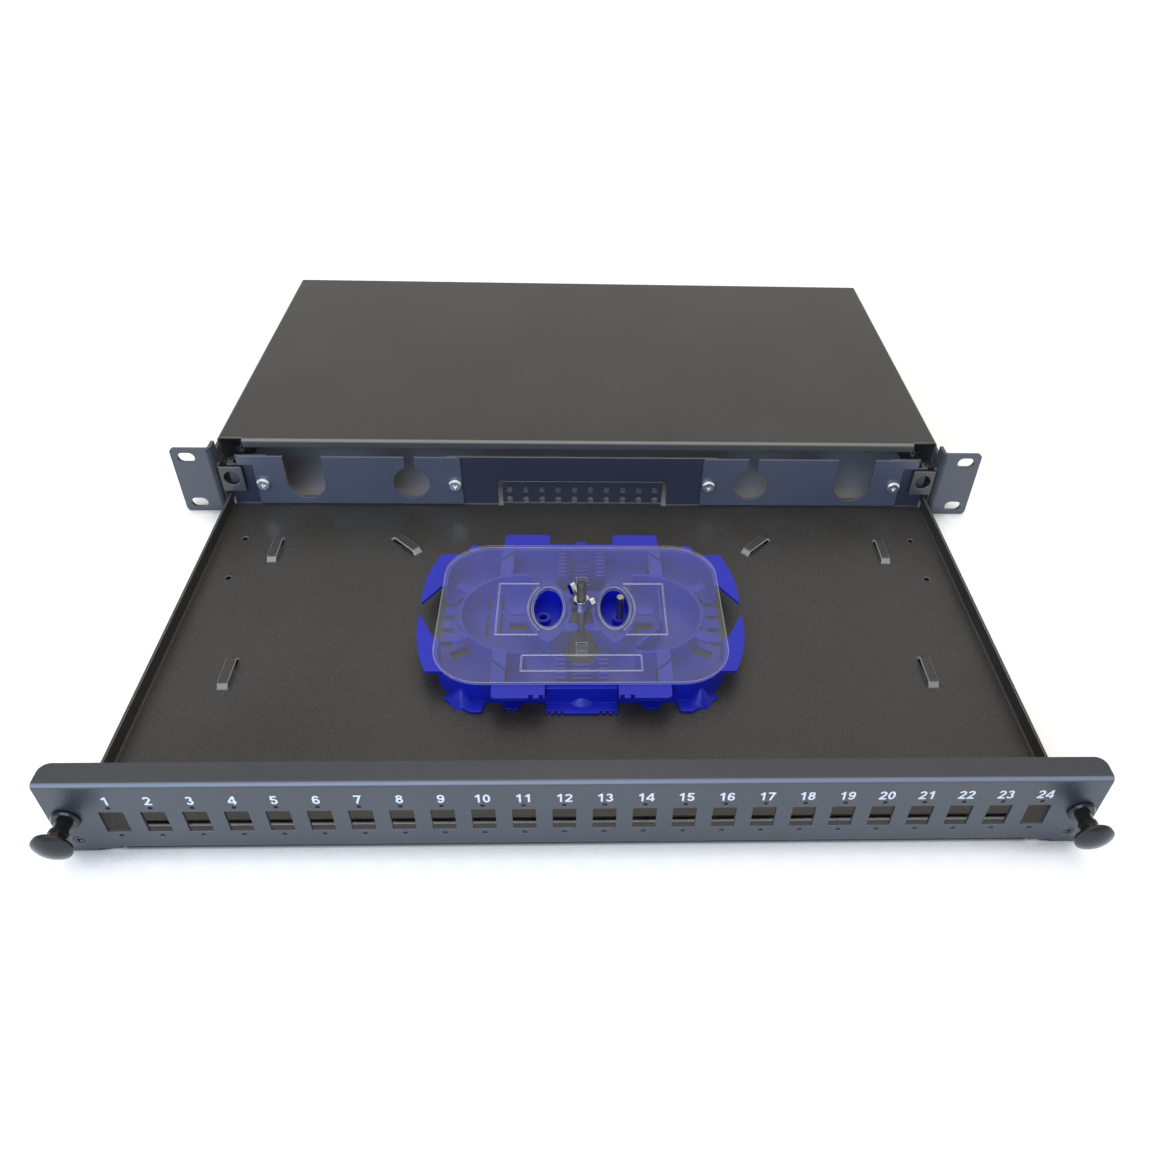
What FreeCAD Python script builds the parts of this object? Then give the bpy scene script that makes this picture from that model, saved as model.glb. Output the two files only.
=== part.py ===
import FreeCAD, Part
import math
import os

# Rack-mount sliding splice tray: a folded sleeve with rack ears, a drawer with a
# numbered port bezel and cable-entry plates, and a moulded cassette with a clear lid.
# Lengths are in mm. X runs to the right, Y to the back and Z up. While modelling, Z is
# measured from the underside and Y from the front of the ears. The finished pieces are
# lowered so that the origin is the centre of the rack-hole pattern.

V = FreeCAD.Vector

# Rack front, from the 19-inch standard
EAR_SPAN = 482.6
EAR_WIDTH = 23.5
EAR_HEIGHT = 43.7
HOLE_EDGE = 8.75
HOLE_RISE = 31.75
RACK_SLOT_LENGTH = 10.0
RACK_SLOT_WIDTH = 6.6

# Sheet metal
SHEET = 1.2
EAR_SHEET = 2.0
BEND = 1.0
EDGE_ROUND = 2.5

# Running clearances
SIDE_GAP = 0.5
SLIDE_GAP = 0.3
STOP_GAP = 1.5
TRAY_SIDE_GAP = 1.0
PASS_GAP = 0.6
SEAT_GAP = 0.1
SEAM = 0.05

# Housing
COVER_DEPTH = 234.0
COVER_DROP = 0.5
LIP_HEIGHT = 5.6
LATCH_TAB_WIDTH = 14.8
LATCH_TAB_HEIGHT = 17.0
LATCH_TAB_RISE = 2.5
LATCH_TAB_ROUND = 1.5
LATCH_HOLE = 9.4
EAR_LEG_FULL = 9.5
EAR_LEG_DEPTH = 48.0
EAR_LEG_STEP = 5.7
EAR_SCREW_FIRST = 20.0
EAR_SCREW_PITCH = 18.0

# Drawer
TRAVEL = 244.0
TRAY_WALL = 9.3
BEZEL_REVEAL = 0.2
BEZEL_TOP_FLANGE = 11.5
BEZEL_BOTTOM_FLANGE = 10.1
BEZEL_FLANGE_ROUND = 4.5
BEZEL_FOOT_WIDTH = 13.6
TRAY_ARM_WIDTH = 19.9
TRAY_FRONT_GAP = 3.3
TRAY_TAB_WIDTH = 13.0
ARM_GAP = 0.5
REAR_END_GAP = 7.0

# Port windows in the bezel
PORT_COUNT = 24
PORT_END_MARGIN = 25.94
PORT_WIDTH = 9.8
PORT_HEIGHT = 13.2
PORT_Z = 19.6
PORT_SCREW_SPAN = 18.2
PORT_SCREW_HOLE = 2.0

# Plunger latches
LATCH_INSET = 7.8
LATCH_Z = 22.5
GROMMET_SLEEVE = 8.4
GROMMET_COLLAR = 11.5
GROMMET_COLLAR_DEPTH = 2.0
GROMMET_BEVEL = 0.8
GROMMET_REACH = 7.5
GROMMET_SLIT = 1.0
PLUNGER_STEM = 6.4
PLUNGER_NECK = 7.2
PLUNGER_RING = 7.9
PLUNGER_RING_DEPTH = 1.3
PLUNGER_HEAD = 16.0
PLUNGER_HEAD_DEPTH = 3.6
PLUNGER_DOME = 14.0
PLUNGER_BEVEL = 0.8
PLUNGER_TIP_INSET = 1.0
PLUNGER_NECK_DEPTH = 4.8
PLUNGER_TRAVEL = 5.0

# Fasteners
M3 = 3.0
M3_HEAD = 6.0
M3_NUT = 5.5
M3_NUT_DEPTH = 2.4
M4 = 4.0
M4_HEAD = 7.3
M4_PAN = 8.3
M4_PAN_DEPTH = 2.6
M4_PAN_BEVEL = 0.9
M4_NUT = 7.0
M4_NUT_DEPTH = 3.0
BEZEL_SCREW_Z = 7.6
DRIVE_WIDTH = 0.8
DRIVE_SPAN = 3.0
DRIVE_DEPTH = 1.0

# Rear wall, cable-entry plates and tie-off strip
GLAND_INNER = 73.2
GLAND_TAB_GAP = 6.4
GLAND_END_GAP = 0.8
GLAND_SCREW_INSET = 4.2
GLAND_SCREW_Z = 18.2
GLAND_WINDOW_MARGIN = 8.6
GLAND_SILL = 5.0
KEYHOLE_INSET = 30.4
KEYHOLE_BORE = 21.6
KEYHOLE_NECK = 6.0
CABLE_SLOT_INSET = 29.8
CABLE_SLOT_WIDTH = 22.6
ENTRY_Z = 19.0
TIE_HALF = 52.0
TIE_HEIGHT = 17.7
TIE_END_GAP = 2.8
TIE_SETBACK = 0.4
TIE_STRIP_HEIGHT = 16.0
TIE_COLUMNS = 10
TIE_ROWS = 2
TIE_EDGE = 4.2
TIE_ROW_PITCH = 7.2
TIE_HOLE = 3.8
TIE_FIRST_ROW = 2.9

# Tie lances and rivet holes in the tray floor: Y is measured forward from the rear wall,
# and an inset is measured in from the tray's side
LANCE_WIDTH = 5.0
LANCE_FLAT = 16.0
LANCE_RAMP = 3.0
LANCE_RISE = 3.0
LANCE_LAND = 2.0
LANCE_SIDE_INSET = 36.9
LANCE_SIDE_Y = (47.0, 147.0)
LANCE_SIDE_ANGLE = 90.0
LANCE_DIAGONAL_X = 103.0
LANCE_DIAGONAL_Y = 42.0
LANCE_DIAGONAL_ANGLE = 45.0
FLOOR_HOLE = 3.4
FLOOR_HOLE_INSET = 16.4
FLOOR_HOLE_Y = (36.0, 72.0)

# Splice cassette: U and V are measured right and back from its own centre
CASSETTE_X = -0.9
CASSETTE_FROM_REAR = 114.5
CASSETTE_LENGTH = 147.0
CASSETTE_WIDTH = 106.0
CASSETTE_CORNER = 24.5
CASSETTE_WALL = 1.6
CASSETTE_FLOOR = 1.6
CASSETTE_HEIGHT = 13.2
FLANGE = 1.5
FINGER_DROP = 0.3

LID_THICKNESS = 1.6
LID_OVERHANG = 0.5
LID_GAP = 0.2
LID_RIB = 0.3
LID_RIB_WIDTH = 0.6

HUB_U = 17.3
HUB_V = 0.8
HUB_HALF_WIDTH = 11.9
HUB_HALF_LENGTH = 24.2
EYE_HALF_WIDTH = 7.7
EYE_HALF_LENGTH = 15.5
EYE_RIM = 1.0
EYE_RIM_RISE = 0.6
RING_FROM_END = 40.5
RING_RADIUS = 31.0
RING_WALL = 1.5
RING_MOUTH_BACK = 5.5

ENTRY_HALF = 20.5
COMB_COUNT = 4
COMB_PITCH = 10.4
COMB_WIDTH = 3.4
COMB_DEPTH = 6.0
COMB_V = 2.7

FINGER_WIDTH = 5.6
FINGER_LENGTH = 10.5
FINGER_ANGLE = 33.0
BRIDGE_FROM_RING = 8.0
BRIDGE_WIDTH = 7.0
BRIDGE_SLIT = 1.4
BRIDGE_SLIT_ANGLE = 45.0
BRIDGE_SLIT_BACK = 5.0
BRIDGE_SLIT_FRONT = 12.0
BRIDGE_OPENING_INSET = 4.8
MIDDLE_HALF = 12.7
MIDDLE_END_GAP = 1.0
MIDDLE_EDGE = 0.8
MIDDLE_FINGER_SHARE = 0.52
MIDDLE_FINGER_GAP = 1.5

FIN_REACH = 10.5
FIN_BULGE = 2.6
FIN_ROOT = 6.0
FIN_CROTCH = 0.8
REAR_FIN_TIP_V = 6.5
REAR_FIN_SHOULDER = 4.5
REAR_FIN_INSET = 5.5
FRONT_FIN_TIP_V = 2.4
FRONT_FIN_SHOULDER = 3.0
FRONT_FIN_INSET = 9.0

TAB_U = 30.6
TAB_WIDTH = 25.6
REAR_TAB_REACH = 12.8
FRONT_TAB_REACH = 9.0
LEDGE_REACH = 4.0
TAB_NOTCH = 2.2
TAB_NOTCH_COUNT = 2
TAB_NOTCH_FIRST = 0.5
TAB_NOTCH_PITCH = 5.0

# Feet and bracket at the cassette's front edge: insets are measured in from its end
FOOT_HEEL = 27.5
FOOT_TOE_INNER = 25.0
FOOT_TOE_OUTER = 19.7
FOOT_TIP = 5.2
FOOT_REACH = 7.2
FOOT_TIP_RISE = 2.2
FOOT_ROUND = 1.5
FOOT_CONE = 13.0
FOOT_CONE_TIP = 2.0
FOOT_CONE_HEIGHT = 8.0
FOOT_CONE_INSET = 15.0
PAD_U = 34.0
PAD_WIDTH = 13.5
PAD_TOE = 6.0
PAD_REACH = 5.0
BRACKET_WIDTH = 34.6
BRACKET_REACH = 8.2
BRACKET_CONE = 18.0
BRACKET_CONE_TIP = 4.0
BRACKET_CONE_HEIGHT = 7.3
APRON = 1.4
TOOTH_SLOT = 1.5
TOOTH_SLOT_COUNT = 3
TOOTH_SLOT_FIRST = 2.4
TOOTH_SLOT_PITCH = 3.1
LUG = 7.4
LUG_HEIGHT = 6.0
LUG_INSET = 14.0

LABEL_SLOT = 1.4
LABEL_SLOT_U = (42.4, 49.7)
LABEL_SLOT_FRONT = (-7.5, 10.8)
LABEL_SLOT_BACK = (12.8, 26.6)
CLIP_LENGTH = 19.0
CLIP_WALL = 1.6
CLIP_ANGLE = 48.0
CLIP_U = 34.5
CLIP_V = -16.0
CLIP_DROP = 2.0
CLIP_STOP_U = 42.0
CLIP_STOP_V = (-3.0, 24.0)

STUD = 4.0
STUD_HEIGHT = 19.3
STUD_BEVEL = 0.5
STUD_U = 20.4
STUD_V = 4.9
BOSS = 8.0
BOSS_HEIGHT = 3.0

# Threaded stud in the cassette's middle, and the wing nut that clamps the lid on it
CENTRE_STUD = 5.0
CENTRE_STUD_BEVEL = 0.6
CENTRE_STUD_DROP = 2.6
NUT_BASE = 10.0
NUT_CROWN = 8.0
NUT_HEIGHT = 6.0
WING_WALL = 2.6
WING_ROOT = 1.2
WING_ELBOW = 7.0
WING_ELBOW_RISE = 3.4
WING_REACH = 10.5
WING_RISE = 12.0
WING_TIP = 2.8
WING_TIP_DROP = 3.0
WING_ROUND = 1.3
WING_ANGLE = -51.0

SPLICE_LENGTH = 26.0
SPLICE_WIDTH = 20.5
SPLICE_FROM_WALL = 0.4
SPLICE_RIBS = 7
SPLICE_RIB = 1.3
SPLICE_BASE = 1.6
SPLICE_SEAT = 3.2
SPLICE_SADDLE = 16.6
SPLICE_TOP_GAP = 1.0

SNAP_WIDTH = 5.6
SNAP_WALL = 1.6
SNAP_BARB = 1.0
SNAP_BARB_HEIGHT = 2.4
SNAP_CLEAR = 3.0
NAME_FRAME_WIDTH = 60.0
NAME_FRAME_DEPTH = 11.5
NAME_FRAME_INSET = 7.0
SIDE_FRAME_U = 33.3
SIDE_FRAME_WIDTH = 21.4
SIDE_FRAME_LENGTH = 40.5

# Values that follow from the sizes above
HOLE_SPAN = EAR_SPAN - 2 * HOLE_EDGE
HOUSING_HALF = EAR_SPAN / 2 - EAR_WIDTH
SHELL_INNER = HOUSING_HALF - SHEET
BEZEL_HALF = HOUSING_HALF - SIDE_GAP
SHELL_TOP = EAR_HEIGHT - COVER_DROP
LIP_LOW = SHELL_TOP - LIP_HEIGHT
COVER_FRONT = BEZEL_TOP_FLANGE + SIDE_GAP
COVER_BACK = COVER_FRONT + COVER_DEPTH
FOLD = BEND + SHEET

TRAY_HALF = SHELL_INNER - SHEET - TRAY_SIDE_GAP
TRAY_LOW = SHEET + SLIDE_GAP
TRAY_FLOOR = TRAY_LOW + SHEET
TRAY_WALL_TOP = TRAY_LOW + TRAY_WALL
BEZEL_Y = -TRAVEL
BEZEL_BACK = BEZEL_Y + SHEET
BEZEL_TOP = EAR_HEIGHT - BEZEL_REVEAL
FOOT_HALF = BEZEL_HALF - BEZEL_FOOT_WIDTH
ARM_INNER = TRAY_HALF - TRAY_ARM_WIDTH
TRAY_FRONT = BEZEL_Y + BEZEL_BOTTOM_FLANGE + TRAY_FRONT_GAP
PORT_PITCH = 2 * (BEZEL_HALF - PORT_END_MARGIN) / (PORT_COUNT - 1)

LATCH_X = HOUSING_HALF - LATCH_INSET
TAB_LOW = TRAY_WALL_TOP + LATCH_TAB_RISE
TAB_HIGH = TAB_LOW + LATCH_TAB_HEIGHT
TAB_INNER = HOUSING_HALF - LATCH_TAB_WIDTH
TAB_FRONT = SHEET + SLIDE_GAP
TAB_BACK = TAB_FRONT + SHEET
WALL_Y = TAB_BACK + STOP_GAP
WALL_BACK = WALL_Y + SHEET
WALL_TOP = LIP_LOW - PASS_GAP
WALL_HALF = TRAY_HALF - SHEET - REAR_END_GAP
WALL_FOOT_HALF = TRAY_HALF - FOLD - SEAT_GAP
PLATE_Y = WALL_Y - SHEET
GLAND_OUTER = TAB_INNER - GLAND_TAB_GAP
KEYHOLE_X = GLAND_INNER + KEYHOLE_INSET
CABLE_SLOT_X = GLAND_OUTER - CABLE_SLOT_INSET

CASSETTE_Y = WALL_Y - CASSETTE_FROM_REAR
CASSETTE_LOW = TRAY_FLOOR
CASSETTE_DECK = CASSETTE_LOW + CASSETTE_FLOOR
CASSETTE_TOP = CASSETTE_LOW + CASSETTE_HEIGHT
FINGER_TOP = CASSETTE_TOP - FINGER_DROP
HALF_U = CASSETTE_LENGTH / 2
HALF_V = CASSETTE_WIDTH / 2
RING_U = HALF_U - RING_FROM_END
RING_MOUTH = RING_U - RING_MOUTH_BACK
BRIDGE_U = RING_U + BRIDGE_FROM_RING
SPLICE_START = HALF_V - CASSETTE_WALL - SPLICE_FROM_WALL - SPLICE_WIDTH
LID_LOW = CASSETTE_TOP + LID_GAP
LID_TOP = LID_LOW + LID_THICKNESS


# Drawing helpers

PLANES = {
    "x": (lambda u, v, w: V(w, u, v), V(1, 0, 0)),
    "y": (lambda u, v, w: V(u, w, v), V(0, 1, 0)),
    "z": (lambda u, v, w: V(u, v, w), V(0, 0, 1)),
}


def outline(points, radii):
    """Closed wire through the points, with each corner rounded by its radius."""
    ends = []
    for i, point in enumerate(points):
        to_last = (points[i - 1] - point).normalize()
        to_next = (points[(i + 1) % len(points)] - point).normalize()
        if radii[i] <= 0:
            ends.append((point, None, point))
            continue
        half = to_last.getAngle(to_next) / 2
        run = radii[i] / math.tan(half)
        bisector = (to_last + to_next).normalize()
        middle = point + bisector * (radii[i] / math.sin(half) - radii[i])
        ends.append((point + to_last * run, middle, point + to_next * run))
    edges = []
    for i, (start, middle, end) in enumerate(ends):
        if middle is not None:
            edges.append(Part.Arc(start, middle, end).toShape())
        following = ends[(i + 1) % len(ends)][0]
        if (following - end).Length > 1e-6:
            edges.append(Part.LineSegment(end, following).toShape())
    return Part.Wire(edges)


def prism(corners, axis, start, end):
    """Solid from (u, v) or (u, v, radius) corners, drawn across an axis and run along it."""
    place, direction = PLANES[axis]
    points = [place(corner[0], corner[1], start) for corner in corners]
    radii = [corner[2] if len(corner) > 2 else 0.0 for corner in corners]
    return Part.Face(outline(points, radii)).extrude(direction * (end - start))


def block(x0, x1, y0, y1, z0, z1):
    return Part.makeBox(x1 - x0, y1 - y0, z1 - z0, V(x0, y0, z0))


def rounded_rect(half_u, half_v, radius):
    return [(-half_u, -half_v, radius), (half_u, -half_v, radius),
            (half_u, half_v, radius), (-half_u, half_v, radius)]


def obround(length, width, low, high):
    """Round-ended bar along X, centred on the origin."""
    half = (length - width) / 2
    bar = block(-half, half, -width / 2, width / 2, low, high)
    ends = [Part.makeCylinder(width / 2, high - low, V(side * half, 0, low)) for side in (-1, 1)]
    return bar.fuse(ends).removeSplitter()


def rod(x, y, z, diameter, length, direction):
    return Part.makeCylinder(diameter / 2, length, V(x, y, z), direction)


def folded(path, thickness):
    """Corners of a folded strip: the path is one face, and the sheet lies to its left."""
    normals = []
    for (u0, v0), (u1, v1) in zip(path, path[1:]):
        length = math.hypot(u1 - u0, v1 - v0)
        normals.append(((v0 - v1) / length, (u1 - u0) / length))
    near = []
    far = []
    for i, (u, v) in enumerate(path):
        before = normals[max(i - 1, 0)]
        after = normals[min(i, len(normals) - 1)]
        share = thickness / (1 + before[0] * after[0] + before[1] * after[1])
        turn = before[0] * after[1] - before[1] * after[0]
        if abs(turn) < 1e-9:
            near_radius, far_radius = 0.0, 0.0
        elif turn > 0:
            near_radius, far_radius = BEND + thickness, BEND
        else:
            near_radius, far_radius = BEND, BEND + thickness
        near.append((u, v, near_radius))
        far.append((u + (before[0] + after[0]) * share, v + (before[1] + after[1]) * share, far_radius))
    return near + far[::-1]


def turned(profile, x, z):
    """Solid of revolution from (radius, y) points, about a line along Y."""
    points = [V(radius, y, 0) for radius, y in profile]
    face = Part.Face(Part.makePolygon(points + points[:1]))
    return face.revolve(V(0, 0, 0), V(0, 1, 0), 360).translated(V(x, 0, z))


def joined(shapes):
    return shapes[0].fuse(shapes[1:]).removeSplitter()


def mirrored(shape):
    return shape.mirror(V(0, 0, 0), V(1, 0, 0))


def both_sides(shape):
    return [shape, mirrored(shape)]


def turned_about(shape, angle, u, v):
    """The shape turned about Z through the origin, then moved to (u, v)."""
    copy = shape.copy()
    copy.rotate(V(0, 0, 0), V(0, 0, 1), angle)
    copy.translate(V(u, v, 0))
    return copy


# Fasteners

def cross_recess(x, y, z, direction):
    """Two crossed slots sunk into a screw head along its axis."""
    span = DRIVE_SPAN / 2
    width = DRIVE_WIDTH / 2
    cross = joined([block(-span, span, -width, width, 0, DRIVE_DEPTH),
                    block(-width, width, -span, span, 0, DRIVE_DEPTH)])
    cross.Placement = FreeCAD.Placement(V(x, y, z), FreeCAD.Rotation(V(0, 0, 1), direction))
    return cross


def hex_nut(x, y, z, direction, thread, across, depth):
    radius = across / math.sqrt(3)
    corners = [(radius * math.cos(k * math.pi / 3), radius * math.sin(k * math.pi / 3)) for k in range(6)]
    bore = Part.makeCylinder(thread / 2 + SEAT_GAP / 2, depth)
    nut = prism(corners, "z", 0, depth).cut(bore)
    nut.Placement = FreeCAD.Placement(V(x, y, z), FreeCAD.Rotation(V(0, 0, 1), direction))
    return nut


def countersunk_cut(x, y, z, direction, head, thread, sheet):
    """Countersunk hole that starts at a face and runs through a sheet."""
    shank = thread / 2 + SEAT_GAP
    rim = head / 2 + SEAT_GAP
    cone = Part.makeCone(rim, shank, rim - shank, V(x, y, z), direction)
    return cone.fuse(Part.makeCylinder(shank, sheet, V(x, y, z), direction))


def countersunk_screw(x, y, z, direction, head, thread, length):
    cone = Part.makeCone(head / 2, thread / 2, (head - thread) / 2, V(x, y, z), direction)
    shank = Part.makeCylinder(thread / 2, length, V(x, y, z), direction)
    return joined([cone, shank]).cut(cross_recess(x, y, z, direction))


def pan_screw(x, y, z, length):
    """Pan-head screw that enters along +Y; its head sits on the plane y."""
    crown = y - M4_PAN_DEPTH
    rim = M4_PAN / 2
    profile = [(0, crown), (rim - M4_PAN_BEVEL, crown), (rim, crown + M4_PAN_BEVEL),
               (rim, y), (M4 / 2, y), (M4 / 2, y + length), (0, y + length)]
    return turned(profile, x, z).cut(cross_recess(x, crown, z, V(0, 1, 0)))


# Housing

def right_latch_tab():
    """Tab folded in from the side wall, with the hole that the plunger's sleeve enters."""
    path = [(TAB_INNER, TAB_FRONT), (HOUSING_HALF, TAB_FRONT), (HOUSING_HALF, COVER_FRONT + FOLD)]
    tab = prism(folded(path, SHEET), "z", TAB_LOW, TAB_HIGH)
    face = [(TAB_INNER, TAB_LOW, LATCH_TAB_ROUND), (HOUSING_HALF, TAB_LOW),
            (HOUSING_HALF, TAB_HIGH), (TAB_INNER, TAB_HIGH, LATCH_TAB_ROUND)]
    hole = rod(LATCH_X, 0, LATCH_Z, LATCH_HOLE, COVER_FRONT, V(0, 1, 0))
    return tab.common(prism(face, "y", 0, COVER_BACK)).cut(hole)


def right_side_front():
    """Front end of the side wall, stepped down beside the latch tab."""
    front = TAB_FRONT + FOLD
    back = COVER_FRONT + FOLD
    corners = [(front, 0), (back, 0), (back, TAB_HIGH + PASS_GAP), (front, TAB_HIGH + PASS_GAP, EDGE_ROUND)]
    return prism(corners, "x", SHELL_INNER, HOUSING_HALF)


def ear_screw_places():
    return [(EAR_SCREW_FIRST + k * EAR_SCREW_PITCH, EAR_HEIGHT / 2) for k in range(2)]


def ear_screw_holes(sheet):
    """Clearance holes through both side walls for the ear screws."""
    holes = []
    for y, z in ear_screw_places():
        holes += both_sides(rod(SHELL_INNER - sheet, y, z, M4 + 2 * SEAT_GAP, 3 * sheet, V(1, 0, 0)))
    return holes


def housing_shell():
    """Sleeve of one folded sheet, in four solids that meet in hairline seams behind its front."""
    sides = [(HOUSING_HALF, 0), (HOUSING_HALF, SHELL_TOP), (-HOUSING_HALF, SHELL_TOP), (-HOUSING_HALF, 0)]
    wrap = prism(folded(sides, SHEET), "y", COVER_FRONT + FOLD + SEAM, COVER_BACK)
    lip_path = [(COVER_FRONT + FOLD, SHELL_TOP), (COVER_FRONT, SHELL_TOP), (COVER_FRONT, LIP_LOW)]
    lip = prism(folded(lip_path, SHEET), "x", -TAB_INNER, TAB_INNER)
    fronts = both_sides(joined([right_side_front(), right_latch_tab()]))
    return Part.makeCompound([wrap.cut(ear_screw_holes(SHEET)), lip] + fronts)


def bottom_plate():
    """Flat floor of the sleeve, welded between its side walls."""
    return block(-SHELL_INNER, SHELL_INNER, TAB_FRONT, COVER_BACK, 0, SHEET)


def right_ear():
    """Rack ear: a slotted flange and a leg that lies outside the housing."""
    path = [(HOUSING_HALF, EAR_LEG_FULL), (HOUSING_HALF, 0), (EAR_SPAN / 2, 0)]
    bracket = prism(folded(path, EAR_SHEET), "z", 0, EAR_HEIGHT)
    face = [(HOUSING_HALF, 0), (EAR_SPAN / 2, 0, EDGE_ROUND),
            (EAR_SPAN / 2, EAR_HEIGHT, EDGE_ROUND), (HOUSING_HALF, EAR_HEIGHT)]
    bracket = bracket.common(prism(face, "y", 0, EAR_LEG_FULL))
    leg_top = EAR_HEIGHT - EAR_LEG_STEP
    leg_corners = [(EAR_SHEET + BEND, EAR_LEG_STEP), (EAR_LEG_DEPTH, EAR_LEG_STEP, EDGE_ROUND),
                   (EAR_LEG_DEPTH, leg_top, EDGE_ROUND), (EAR_SHEET + BEND, leg_top)]
    leg = prism(leg_corners, "x", HOUSING_HALF, HOUSING_HALF + EAR_SHEET)
    cuts = []
    for z in (EAR_HEIGHT / 2 - HOLE_RISE / 2, EAR_HEIGHT / 2 + HOLE_RISE / 2):
        slot = obround(RACK_SLOT_LENGTH, RACK_SLOT_WIDTH, -EAR_SHEET, 2 * EAR_SHEET)
        slot.rotate(V(0, 0, 0), V(1, 0, 0), -90)
        cuts.append(slot.translated(V(HOLE_SPAN / 2, 0, z)))
    outer = HOUSING_HALF + EAR_SHEET
    for y, z in ear_screw_places():
        cuts.append(countersunk_cut(outer, y, z, V(-1, 0, 0), M4_HEAD, M4, EAR_SHEET))
    return joined([bracket, leg]).cut(cuts)


def ear_screws():
    outer = HOUSING_HALF + EAR_SHEET
    length = EAR_SHEET + SHEET + M4_NUT_DEPTH
    screws = []
    for y, z in ear_screw_places():
        screws += both_sides(countersunk_screw(outer, y, z, V(-1, 0, 0), M4_HEAD, M4, length))
    return Part.makeCompound(screws)


def ear_nuts():
    nuts = []
    for y, z in ear_screw_places():
        nuts += both_sides(hex_nut(SHELL_INNER, y, z, V(-1, 0, 0), M4, M4_NUT, M4_NUT_DEPTH))
    return Part.makeCompound(nuts)


# Drawer

def right_tray_tab():
    """Tab folded up from the tray's front arm, behind the bezel's screw."""
    path = [(BEZEL_BACK, TRAY_WALL_TOP), (BEZEL_BACK, TRAY_LOW), (BEZEL_BACK + 2 * FOLD, TRAY_LOW)]
    outer = TRAY_HALF - FOLD
    tab = prism(folded(path, SHEET), "x", outer - TRAY_TAB_WIDTH, outer)
    hole = max(M3, M3_HEAD - 2 * SHEET) + 2 * SEAT_GAP
    return tab.cut(rod(LATCH_X, BEZEL_Y, BEZEL_SCREW_Z, hole, 2 * FOLD, V(0, 1, 0)))


def front_gap():
    """Cut that separates the tray floor from the bezel's bottom flange between the arms."""
    return block(-ARM_INNER, ARM_INNER, BEZEL_Y, TRAY_FRONT, 0, TRAY_FLOOR + SHEET)


def rear_wall():
    """Wall folded up at the back of the tray: its ends stop behind the latch tabs."""
    path = [(WALL_BACK - 2 * FOLD, TRAY_LOW), (WALL_BACK, TRAY_LOW), (WALL_BACK, WALL_TOP)]
    wall = prism(folded(path, SHEET), "x", -WALL_FOOT_HALF, WALL_FOOT_HALF)
    corner = block(WALL_HALF, TRAY_HALF, 0, 2 * WALL_BACK, TAB_HIGH + PASS_GAP, 2 * WALL_TOP)
    low = TRAY_FLOOR + GLAND_SILL
    inner = GLAND_INNER + GLAND_WINDOW_MARGIN
    outer = GLAND_OUTER - GLAND_WINDOW_MARGIN
    above = 2 * WALL_TOP
    corners = [(inner, low, EDGE_ROUND), (outer, low, EDGE_ROUND), (outer, above), (inner, above)]
    windows = both_sides(prism(corners, "y", 0, 2 * WALL_BACK))
    screw_holes = []
    for x in gland_screw_places():
        screw_holes.append(rod(x, 0, GLAND_SCREW_Z, M4 + 2 * SEAT_GAP, 2 * WALL_BACK, V(0, 1, 0)))
    tie_opening = block(-TIE_HALF, TIE_HALF, WALL_BACK - FOLD, 2 * WALL_BACK, 0, TRAY_FLOOR + TIE_HEIGHT)
    return wall.cut(windows + screw_holes + both_sides(corner) + [tie_opening])


def tie_strip():
    """Upright strip behind the wall's middle opening, pierced for cable ties."""
    half = TIE_HALF - TIE_END_GAP
    back = WALL_BACK + TIE_SETBACK + SHEET
    path = [(WALL_BACK - 2 * FOLD, TRAY_LOW), (back, TRAY_LOW), (back, TRAY_FLOOR + TIE_STRIP_HEIGHT)]
    pitch = 2 * (half - TIE_EDGE) / (TIE_COLUMNS - 1)
    holes = []
    for column in range(TIE_COLUMNS):
        x = (column - (TIE_COLUMNS - 1) / 2) * pitch
        for row in range(TIE_ROWS):
            z = TRAY_FLOOR + TIE_FIRST_ROW + row * TIE_ROW_PITCH
            holes.append(rod(x, WALL_Y, z, TIE_HOLE, 2 * back, V(0, 1, 0)))
    return prism(folded(path, SHEET), "x", -half, half).cut(holes)


def lance_places():
    """Centre and turn of each tie lance on the right half of the tray."""
    places = [(TRAY_HALF - LANCE_SIDE_INSET, WALL_Y - y, LANCE_SIDE_ANGLE) for y in LANCE_SIDE_Y]
    places.append((LANCE_DIAGONAL_X, WALL_Y - LANCE_DIAGONAL_Y, LANCE_DIAGONAL_ANGLE))
    return places


def lance_bridge():
    """Strip raised out of the floor between two ramps, for a cable tie to pass under."""
    flat = LANCE_FLAT / 2
    foot = flat + LANCE_RAMP
    end = foot + LANCE_LAND
    high = TRAY_LOW + LANCE_RISE
    path = [(-end, TRAY_LOW), (-foot, TRAY_LOW), (-flat, high),
            (flat, high), (foot, TRAY_LOW), (end, TRAY_LOW)]
    return prism(folded(path, SHEET), "y", -LANCE_WIDTH / 2, LANCE_WIDTH / 2)


def lance_cut():
    foot = LANCE_FLAT / 2 + LANCE_RAMP
    width = LANCE_WIDTH / 2 + SEAT_GAP
    return block(-foot, foot, -width, width, 0, 2 * TRAY_FLOOR)


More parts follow.
